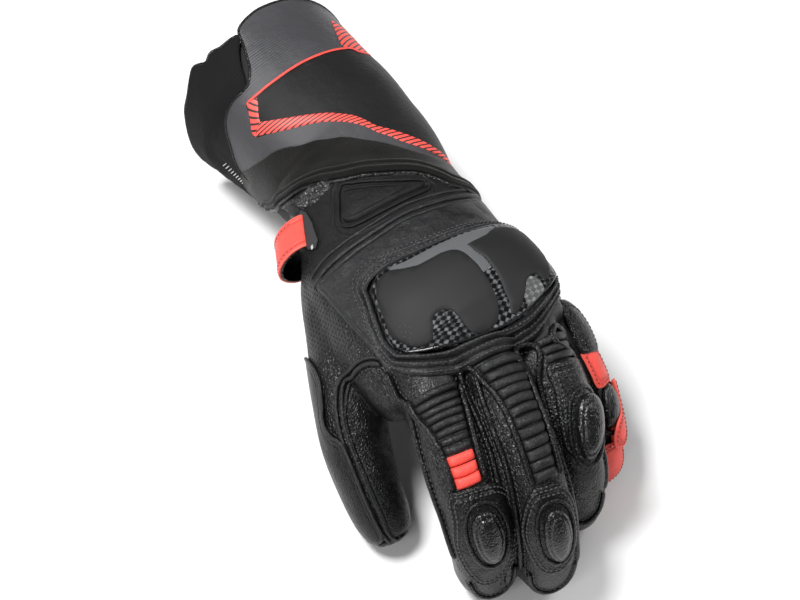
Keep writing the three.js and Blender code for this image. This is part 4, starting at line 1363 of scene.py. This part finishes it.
def layRing(
    name, tube, inner, outer, profile, material, stands=(), thickness=2.4, columns=guardRim["columns"],
    count=260, passes=8,
):
    loops = loopsByTurn(tube, inner, outer, count)
    first, second = (np.vstack([loop, loop[:1]]) for loop in loops)
    piece, over, down = newGrid(name, columns, count)
    row = rowOf(down, count)
    flat = between(first, second, row, over)
    width = np.linalg.norm(second - first, axis=1)
    run = runAlong((first + second) / 2)
    keepUv(piece, np.column_stack([over * width[row], run[row]]))
    keepNumber(piece, "edge", np.minimum(over, 1 - over) * width[row] + 3)
    shares, heights = zip(*profile)
    along, around = fromFlat(tube, flat)
    wrinkle = 0.12 * np.sin(run[row] * 1.9 + 4 * over) * np.sin(run[row] * 0.37)
    column = rowOf(over, columns)
    ground = np.zeros((count + 1, columns + 1))
    ground[row, column] = skinLift(tube, along, around)
    for _ in range(passes):
        ground[:-1] = (np.roll(ground[:-1], 1, 0) + ground[:-1] + np.roll(ground[:-1], -1, 0)) / 3
        ground[-1] = ground[0]
        ground[:, 1:-1] = (ground[:, :-2] + ground[:, 1:-1] + ground[:, 2:]) / 3
    hugged = np.clip(np.linspace(0, 1, columns + 1) / 0.35, 0.15, 1)
    ground = np.where(ground < 0, ground * hugged, ground)
    lift = softProfile(over, shares, heights) + wrinkle * np.sin(math.pi * over) + ground[row, column]
    moveCorners(piece, onTube(tube, along, around, lift) * metre)
    weld(piece)
    turnOut(piece, tube)
    thicken(piece, thickness)
    return finishPiece(piece, material, stands, 60), loops, ground


def softProfile(at, shares, heights):
    return softly(np.array(shares), np.array(heights, float), np.clip(at, 0, 0.9999))


rimPiece, rimLoops, rimGround = layRing(
    "guardRim", "hand", guardRim["inner"], guardRim["outer"], guardRim["profile"], smoothLeather,
    ("guard_rim",),
)
rimSeams = []
for share, lift in guardRim["seams"]:
    loop = rimLoops[0] * (1 - share) + rimLoops[1] * share
    raised = lift + 0.2 + rimGround[:-1, int(round(share * guardRim["columns"]))]
    rimSeams.append(closedLine(*lineOn("hand", loop, raised)))
sewLines("guardRimStitches", rimSeams, blackThread, 2.1, 1.5, 0.56)


# Knuckle guard: carbon shell, two matt plates, the woven band between them and a glossy lip
guardDome = {"along": 0.645, "halfLength": 0.19, "around": 66, "halfWidth": 62, "rise": 3}


def guardRise(flat, edge):
    along, around = fromFlat("hand", flat)
    down = np.abs((along - guardDome["along"]) / guardDome["halfLength"])
    over = np.abs((around - guardDome["around"]) / guardDome["halfWidth"])
    return guardDome["rise"] * np.clip(1 - down**3, 0, 1) * np.clip(1 - over**3, 0, 1)


knuckleGuard = {
    "tube": "hand", "low": 0.8, "high": 4.7, "roll": 1.0, "cell": 2.4, "rims": (0.25, 0.35, 0.5),
    "outline": [
        (0.509, 120), (0.560, 123), (0.620, 127), (0.664, 127), (0.700, 125), (0.731, 122), (0.763, 116),
        (0.788, 108), (0.812, 96), (0.823, 87), (0.830, 79), (0.835, 70), (0.836, 61), (0.828, 52),
        (0.811, 43), (0.785, 32), (0.745, 22), (0.70, 15), (0.64, 11), (0.58, 10), (0.52, 11), (0.484, 16),
        (0.488, 30), (0.493, 42), (0.494, 53), (0.491, 64), (0.489, 77), (0.487, 89), (0.483, 100),
        (0.483, 108), (0.490, 115),
    ],
}
layPanel("knuckleGuard", knuckleGuard, carbon, ("knuckle_guard",), guardRise)
plateLarge = {
    "tube": "hand", "low": 3.6, "high": 5.3, "roll": 0.5, "cell": 2.4, "rims": (0.2, 0.3), "soft": False,
    "outline": [
        (0.526, 118), (0.555, 121), (0.591, 122), (0.619, 124), (0.648, 124), (0.671, 122), (0.709, 119),
        (0.740, 116), (0.757, 111), (0.755, 106), (0.713, 103), (0.682, 100), (0.674, 96), (0.682, 92),
        (0.700, 89), (0.740, 88.5), (0.780, 88), (0.806, 87), (0.819, 83), (0.825, 77), (0.815, 71),
        (0.794, 68), (0.766, 66), (0.714, 65), (0.677, 64), (0.650, 64), (0.621, 64), (0.581, 65),
        (0.559, 66), (0.544, 68), (0.535, 71), (0.530, 76), (0.530, 83), (0.529, 90), (0.515, 98),
        (0.498, 105), (0.498, 111), (0.509, 115),
    ],
}
layPanel("guardPlateLarge", plateLarge, guardPlastic, ("guard_plate_large",), guardRise)
plateSmall = {
    "tube": "hand", "low": 3.6, "high": 5.3, "roll": 0.5, "cell": 2.4, "rims": (0.2, 0.3), "soft": False,
    "outline": [
        (0.541, 62), (0.537, 54), (0.532, 48), (0.520, 44), (0.512, 36), (0.512, 28), (0.520, 20),
        (0.545, 15), (0.59, 14), (0.646, 17), (0.701, 23), (0.740, 29), (0.757, 34), (0.738, 36), (0.722, 37),
        (0.722, 41), (0.735, 45), (0.775, 49), (0.808, 54), (0.822, 59), (0.815, 62), (0.796, 61),
        (0.778, 60), (0.739, 60), (0.703, 59), (0.672, 58), (0.640, 58), (0.608, 58), (0.581, 60),
        (0.559, 61),
    ],
}
layPanel("guardPlateSmall", plateSmall, guardPlastic, ("guard_plate_small",), guardRise)
guardBand = {
    "tube": "hand", "low": 3.4, "high": 4.85, "roll": 0.3, "cell": 2.0, "rims": (0.25,), "soft": False,
    "outline": [
        (0.489, 104), (0.498, 96), (0.500, 86), (0.500, 76), (0.502, 66), (0.503, 55), (0.502, 45),
        (0.506, 38), (0.520, 42), (0.536, 47), (0.542, 54), (0.545, 60), (0.58, 59), (0.616, 58), (0.650, 58),
        (0.652, 65), (0.619, 65), (0.579, 66), (0.560, 68), (0.546, 71), (0.540, 77), (0.540, 85),
        (0.537, 92), (0.522, 99), (0.504, 107),
    ],
}
layPanel("guardBand", guardBand, carbonBand, (), guardRise)
lipFlat = insideLine(smoothLoop(flatOf("hand", knuckleGuard["outline"]), 1.1), 0.9, 1.2)
layCord("guardLip", *lineOn("hand", lipFlat, 4.1 + guardRise(lipFlat, 0)), 1.5, 1.3, glossLip, closed=True)
dimples = [
    (0.636, 117), (0.643, 114), (0.655, 113), (0.650, 118), (0.660, 116), (0.674, 114), (0.668, 118),
    (0.684, 116),
]
dimpleFlat = flatOf("hand", dimples)
dimpleLines = []
for spot in dimpleFlat:
    pair = np.array([spot, spot + (0, 0.9)])
    dimpleLines.append(lineOn("hand", pair, 5.2 + guardRise(pair, 0)))
sewLines("guardDimples", dimpleLines, blackThread, 0.9, 0.6, 0.6)
print("guard made")

# Folded stretch panels over the finger knuckles
accordions = {
    "accordionIndex": (
        "index", 8, [(0.157, 136), (0.190, 135), (0.225, 126), (0.262, 119), (0.304, 116)],
        [(0.147, 50), (0.190, 56), (0.240, 62), (0.270, 66), (0.302, 69)], "accordion_index",
    ),
    "accordionIndexRed": (
        "index", 3, [(0.306, 116), (0.341, 116), (0.378, 116)], [(0.304, 70), (0.340, 72), (0.376, 74)],
        "accordion_index_red",
    ),
    "accordionMiddle": (
        "middle", 12,
        [(0.150, 118), (0.180, 113), (0.215, 104), (0.255, 99), (0.299, 99), (0.353, 100), (0.420, 101)],
        [(0.140, 24), (0.180, 30), (0.215, 38), (0.255, 43), (0.305, 47), (0.355, 54), (0.418, 60)],
        "accordion_middle",
    ),
    "accordionRing": ("ring", 3, [(0.150, 92), (0.205, 84)], [(0.140, 14), (0.200, 18)], "accordion_ring"),
}
for name, (tube, ribs, left, right, stands) in accordions.items():
    red = name.endswith("Red")
    measures = {
        "tube": tube, "ribs": ribs, "left": left, "right": right, "low": -0.3, "ribHeight": 1.9, "bow": 0.35
    }
    layRibs(name, measures, redLeather if red else smoothLeather, (stands,))
accordionEdges = [
    (
        "index",
        [(0.150, 141), (0.190, 139), (0.225, 130), (0.262, 123), (0.304, 120), (0.345, 120), (0.378, 121)],
    ),
    ("index", [(0.150, 46), (0.190, 52), (0.240, 58), (0.270, 62), (0.304, 65), (0.345, 68), (0.378, 69)]),
    (
        "middle",
        [(0.150, 123), (0.180, 118), (0.215, 109), (0.255, 104), (0.299, 104), (0.353, 105), (0.420, 106)],
    ),
    ("middle", [(0.150, 20), (0.180, 25), (0.215, 33), (0.255, 38), (0.305, 42), (0.355, 49), (0.418, 55)]),
]
for number, (tube, edge) in enumerate(accordionEdges):
    line = lineThrough(on(tube, edge, 1.2))
    layCord("accordionEdge" + str(number + 1), *line, 2.6, 2.2, grainLeather)

# Stitched patches on the fingers and the padded ovals on them
sliderBases = {
    "sliderBaseIndex": (
        "index", "slider_base_index",
        [
            (0.381, 133), (0.441, 142), (0.519, 153), (0.629, 136), (0.668, 120), (0.668, 90), (0.640, 68),
            (0.563, 44), (0.492, 28), (0.433, 30), (0.395, 52), (0.383, 80), (0.380, 108),
        ],
    ),
    "sliderBaseMiddle": (
        "middle", "slider_base_middle",
        [
            (0.426, 109), (0.454, 128), (0.520, 145), (0.599, 136), (0.655, 120), (0.669, 100), (0.665, 82),
            (0.620, 60), (0.565, 48), (0.497, 42), (0.459, 48), (0.430, 62), (0.424, 85),
        ],
    ),
    "sliderBaseRing": (
        "ring", "slider_base_ring",
        [
            (0.212, 92), (0.208, 64), (0.205, 30), (0.205, 6), (0.250, -2), (0.33, -4), (0.40, 12),
            (0.440, 45), (0.452, 72), (0.433, 94), (0.404, 106), (0.335, 103), (0.265, 94),
        ],
    ),
}
for name, (tube, stands, outline) in sliderBases.items():
    measures = {"tube": tube, "low": -0.8, "high": 1.9, "roll": 1.1, "cell": 2.2, "outline": outline}
    layPanel(name, measures, grainLeather, (stands,))
    lines = [closedLine(*rimLine(measures, inset, 2.0, 1.0)) for inset in (1.4, 3.0)]
    sewLines(name + "Stitches", lines, blackThread, 2.1, 1.4, 0.66)

sliders = {
    "sliderIndex": (
        "index", "slider_index", 1.9, 3.7,
        [
            (0.434, 92), (0.437, 103), (0.453, 111), (0.478, 115), (0.510, 115), (0.541, 111), (0.563, 104),
            (0.572, 95), (0.568, 86), (0.549, 78), (0.517, 72), (0.482, 71), (0.455, 75), (0.438, 83),
        ],
    ),
    "sliderMiddle": (
        "middle", "slider_middle", 1.9, 3.7,
        [
            (0.472, 86), (0.476, 97), (0.491, 104), (0.522, 108), (0.553, 108), (0.583, 104), (0.603, 97),
            (0.611, 89), (0.603, 80), (0.582, 73), (0.551, 68), (0.517, 67), (0.489, 71), (0.475, 78),
        ],
    ),
    "sliderRing": (
        "ring", "slider_ring", 1.9, 3.7,
        [
            (0.296, 46), (0.300, 60), (0.318, 71), (0.345, 78), (0.380, 83), (0.415, 84), (0.440, 80),
            (0.446, 70), (0.435, 58), (0.408, 42), (0.375, 27), (0.340, 17), (0.312, 20), (0.298, 32),
        ],
    ),
    "littleSlider": (
        "little", "little_slider", 0.2, 2.4,
        [
            (0.350, 16), (0.352, 34), (0.375, 46), (0.410, 54), (0.450, 60), (0.485, 62), (0.496, 48),
            (0.494, 22), (0.475, 0), (0.440, -14), (0.395, -16), (0.362, -4),
        ],
    ),
}
for name, (tube, stands, base, swell, outline) in sliders.items():
    measures = {
        "tube": tube, "low": base - 1.2, "high": base + 0.5, "roll": 0.9, "cell": 1.5,
        "rims": (0.25, 0.4, 0.6), "swell": swell, "swellWidth": 6.5, "outline": outline,
    }
    made = layPanel(name, measures, puffLeather, (stands,))
    layCord(name + "Ring", *rimLine(measures, -2.0, base + 0.15), 1.9, 1.7, grainLeather, closed=True)
print("finger pads made")

# Little finger: red panels, its strip and the tongue above it
littlePanels = {
    "littleTongue": (
        "little", grainLeather, 1.9,
        [(0.120, 8), (0.110, 62), (0.175, 68), (0.236, 66), (0.246, 40), (0.246, 14), (0.200, 2)], (),
    ),
    "littleRedUpper": (
        "little", redLeather, 1.4,
        [
            (0.236, 16), (0.232, 66), (0.270, 65), (0.310, 62), (0.352, 57), (0.350, 20), (0.346, -8),
            (0.312, -6), (0.272, 5),
        ],
        ("little_panel_red",),
    ),
    "littleRedStrip": (
        "little", redLeather, 3.5,
        [
            (0.345, -10), (0.349, 3), (0.375, 3), (0.420, 8), (0.455, 20), (0.480, 42), (0.520, 58),
            (0.560, 60), (0.580, 40), (0.560, 18), (0.520, 0), (0.470, -14), (0.410, -24), (0.365, -24),
        ],
        (),
    ),
    "littleRedTip": (
        "little", redLeather, 1.4,
        [
            (0.560, 32), (0.545, 62), (0.556, 84), (0.610, 100), (0.680, 106), (0.760, 106), (0.830, 104),
            (0.890, 90), (0.895, 58), (0.830, 40), (0.740, 32), (0.640, 28),
        ],
        ("little_tip_red",),
    ),
}
for name, (tube, material, high, outline, stands) in littlePanels.items():
    measures = {"tube": tube, "low": -0.8, "high": high, "roll": 0.5, "cell": 2.0, "outline": outline}
    layPanel(name, measures, material, stands)
    sewLines(
        name + "Stitches", [closedLine(*rimLine(measures, 1.3, high + 0.1, 1.0))],
        redThread if material is redLeather else blackThread, 2.0, 1.3, 0.42,
    )

# Thumb: smooth panels on both sides of the perforated back, edged with raised seams
thumbOuterEdge = [
    (0.275, 188), (0.319, 150), (0.354, 141), (0.405, 144), (0.445, 150), (0.479, 140), (0.503, 123),
    (0.54, 119), (0.633, 117), (0.742, 117), (0.85, 120), (0.92, 138),
]
thumbInnerEdge = [
    (0.311, 34), (0.341, 80), (0.363, 95), (0.417, 108), (0.448, 112), (0.477, 112), (0.540, 109),
    (0.613, 106), (0.75, 104), (0.85, 106), (0.92, 100),
]
thumbPanels = {
    "thumbPanelOuter": (
        "thumb_panel_outer",
        thumbOuterEdge + [
            (0.92, 208), (0.85, 222), (0.742, 228), (0.633, 228), (0.54, 228), (0.446, 228), (0.37, 224),
            (0.31, 214),
        ],
    ),
    "thumbPanelInner": (
        "thumb_panel_inner",
        [(0.34, 0), (0.33, 40), (0.345, 78)] + thumbInnerEdge[2:] + [
            (0.93, 40), (0.87, -10), (0.75, -38), (0.613, -38), (0.525, -38), (0.417, -33), (0.37, -23)
        ],
    ),
}
for name, (stands, outline) in thumbPanels.items():
    measures = {
        "tube": "thumb", "low": -0.8, "high": 1.3, "roll": 0.7, "cell": 2.4, "outline": outline,
        "creases": [
            ((0.50, 40), (0.53, 104), 1.5, 1.5), ((0.545, 40), (0.57, 100), 1.1, 1.3),
            ((0.46, 60), (0.47, 108), 0.9, 1.6), ((0.52, 130), (0.50, 170), 0.8, 1.6),
        ],
    }
    layPanel(name, measures, thumbLeather, (stands,))
layCord(
    "thumbSeamOuter", *lineOn("thumb", smoothLoop(flatOf("thumb", thumbOuterEdge), 1.5, False), 1.1), 1.5,
    1.4, smoothLeather,
)
thumbArch = on("hand", [(0.665, 143), (0.640, 145), (0.617, 152), (0.603, 160), (0.600, 168)], 0.9)
thumbArch += on("thumb", [(0.363, 100), (0.417, 110)] + thumbInnerEdge[4:] + [(0.955, 90)], 0.9)
archPoints, archOut = lineOnSkin(thumbArch)
layCord("thumbSeamInner", archPoints, archOut, 2.0, 2.0, smoothLeather)
archSide = sideways(archPoints, archOut)
layCord(
    "thumbSeamInnerSecond", *settle(archPoints + archSide * 2.6, np.full(len(archPoints), 0.9)), 1.7, 1.7,
    smoothLeather,
)
sewLines(
    "thumbSeamStitches", [settle(archPoints - archSide * 2.0, np.full(len(archPoints), 0.5))], blackThread,
    2.2, 1.4, 0.45,
)
thumbTipLine = lineThrough(
    [("thumb", a, r, 0.4) for a, r in ((0.93, 20), (0.95, 60), (0.945, 110), (0.95, 160), (0.93, 210))]
)
layCord("thumbTipSeam", *thumbTipLine, 2.0, 1.6, grainLeather)

# Reinforced palm, hidden under the hand
palmPanel = {
    "tube": "hand", "low": -0.8, "high": 1.2, "cell": 3.0,
    "outline": [
        (0.34, 217), (0.45, 209), (0.6, 206), (0.72, 208), (0.78, 214), (0.80, 270), (0.78, 327), (0.72, 332),
        (0.6, 334), (0.45, 331), (0.34, 326), (0.32, 270),
    ],
}
layPanel("palmPanel", palmPanel, grainLeather, ("palm_panel",))
sewLines("palmStitches", [closedLine(*rimLine(palmPanel, inset, 1.3)) for inset in (1.8, 3.6)], blackThread)
print("thumb and palm made")

# Rolled seams between the fingers: an arch at each web, then down the sides of both fingers
webSeams = {
    "webIndexMiddle": [
        (
            "index", 0.6,
            [(0.74, 70), (0.605, 62), (0.504, 58), (0.434, 50), (0.366, 40), (0.296, 26), (0.235, 20)],
        ),
        ("hand", 1.6, [(0.905, 112), (0.882, 106), (0.868, 99), (0.882, 93), (0.905, 92)]),
        (
            "middle", 0.6,
            [
                (0.235, 132), (0.296, 136), (0.332, 138), (0.396, 142), (0.467, 150), (0.561, 158),
                (0.711, 160),
            ],
        ),
    ],
    "webMiddleRing": [
        (
            "middle", 0.6,
            [(0.72, 40), (0.62, 38), (0.545, 34), (0.481, 28), (0.421, 18), (0.34, 10), (0.26, 6)],
        ),
        ("hand", 1.6, [(0.905, 72), (0.890, 65), (0.878, 59), (0.892, 53), (0.915, 52)]),
        ("ring", 0.6, [(0.23, 112), (0.286, 118), (0.359, 122), (0.423, 124), (0.52, 128), (0.62, 132)]),
    ],
    "webRingLittle": [
        ("ring", 0.6, [(0.62, 20), (0.52, 10), (0.44, 4), (0.36, -8), (0.28, -12), (0.22, -8)]),
        ("hand", 1.4, [(0.905, 38), (0.882, 31), (0.872, 24), (0.885, 19)]),
        ("little", 0.6, [(0.20, 84), (0.26, 88), (0.33, 88), (0.42, 92), (0.52, 96)]),
    ],
    "webThumbIndex": [
        (
            "index", 0.6,
            [
                (0.600, 168), (0.538, 172), (0.435, 175), (0.351, 172), (0.273, 169), (0.202, 158),
                (0.145, 149),
            ],
        ),
        ("hand", 1.3, [(0.845, 143), (0.802, 142), (0.755, 141), (0.700, 142)]),
    ],
}
for name, parts in webSeams.items():
    spots = [spot for tube, lift, line in parts for spot in on(tube, line, lift)]
    points, outward = lineOnSkin(spots)
    layCord(name, points, outward, 2.6, 2.5, grainLeather, ends=5)
    side = sideways(points, outward)
    for number, away in enumerate((-2.4, 2.4)):
        alongside = settle(points + side * away, np.full(len(points), 0.25))
        sewLines(name + "Stitches" + str(number + 1), [alongside], blackThread, 2.3, 1.5, 0.45)

# U-shaped seams at the fingertips
tipSeams = {"index": 0.70, "middle": 0.71, "ring": 0.60}
for tube, start in tipSeams.items():
    spots = on(
        tube,
        [
            (start - 0.02, 140), (start + 0.06, 134), (start + 0.11, 118), (start + 0.125, 92),
            (start + 0.11, 66), (start + 0.06, 50), (start - 0.02, 44),
        ],
        0.7,
    )
    points, outward = lineOnSkin(spots)
    layCord(tube + "TipSeam", points, outward, 2.3, 1.9, grainLeather)
    inward = sideways(points, outward)
    sewLines(
        tube + "TipStitches",
        [settle(points + inward * away, np.full(len(points), 0.3)) for away in (-2.2, 2.2)], blackThread, 2.2,
        1.4, 0.5,
    )
print("seams made")

# Floor, light and camera
stageLook = {
    "world": 0.17, "target": (-0.00352, -0.0054, 0.04144), "distance": 0.821, "azimuth": -24.0,
    "elevation": 55.0, "lens": 85.0,
}

deselectAll()
bpy.ops.mesh.primitive_plane_add(size=12)
floor = bpy.context.object
floor.name = "floor"
floorPaint = Paint("paleFloor")
floorTone = floorPaint.blend(
    floorPaint.cloud(floorPaint.place(), 3.0) * 0.1, (0.88, 0.88, 0.88), (0.84, 0.84, 0.84)
)
floor.data.materials.append(floorPaint.done(Base_Color=floorTone, Roughness=0.8))

world = bpy.data.worlds.new("studio")
world.use_nodes = True
world.node_tree.nodes["Background"].inputs[0].default_value = (1, 1, 1, 1)
world.node_tree.nodes["Background"].inputs[1].default_value = stageLook["world"]
bpy.context.scene.world = world


# Places and sizes in metres, power in watts
lights = {
    "keyLight": {"place": (-0.42, 0.20, 1.20), "size": (0.42, 0.36), "power": 19},
    "fillLight": {"place": (0.9, -0.1, 1.0), "size": (0.6, 0.6), "power": 6.5},
    "frontStrip": {"place": (-0.85, -0.72, 0.85), "size": (0.8, 0.2), "power": 6.0},
}


def addLight(name, place, size, power):
    lamp = bpy.data.lights.new(name, "AREA")
    lamp.shape, lamp.size, lamp.size_y, lamp.energy = "RECTANGLE", size[0], size[1], power
    holder = bpy.data.objects.new(name, lamp)
    bpy.context.collection.objects.link(holder)
    holder.location = place
    holder.rotation_euler = (Vector((0, 0, 0.04)) - Vector(place)).to_track_quat("-Z", "Y").to_euler()


for name, light in lights.items():
    addLight(name, **light)

azimuth, elevation = math.radians(stageLook["azimuth"]), math.radians(stageLook["elevation"])
flatReach = math.cos(elevation)
away = Vector((math.sin(azimuth) * flatReach, -math.cos(azimuth) * flatReach, math.sin(elevation)))
lensData = bpy.data.cameras.new("photoCamera")
lensData.lens, lensData.sensor_width, lensData.clip_start, lensData.clip_end = stageLook["lens"], 36, 0.01, 20
photoCamera = bpy.data.objects.new("photoCamera", lensData)
bpy.context.collection.objects.link(photoCamera)
photoCamera.location = Vector(stageLook["target"]) + away * stageLook["distance"]
photoCamera.rotation_euler = away.to_track_quat("Z", "Y").to_euler()
bpy.context.scene.camera = photoCamera
bpy.context.scene.view_settings.view_transform = "Standard"
print("stage set")
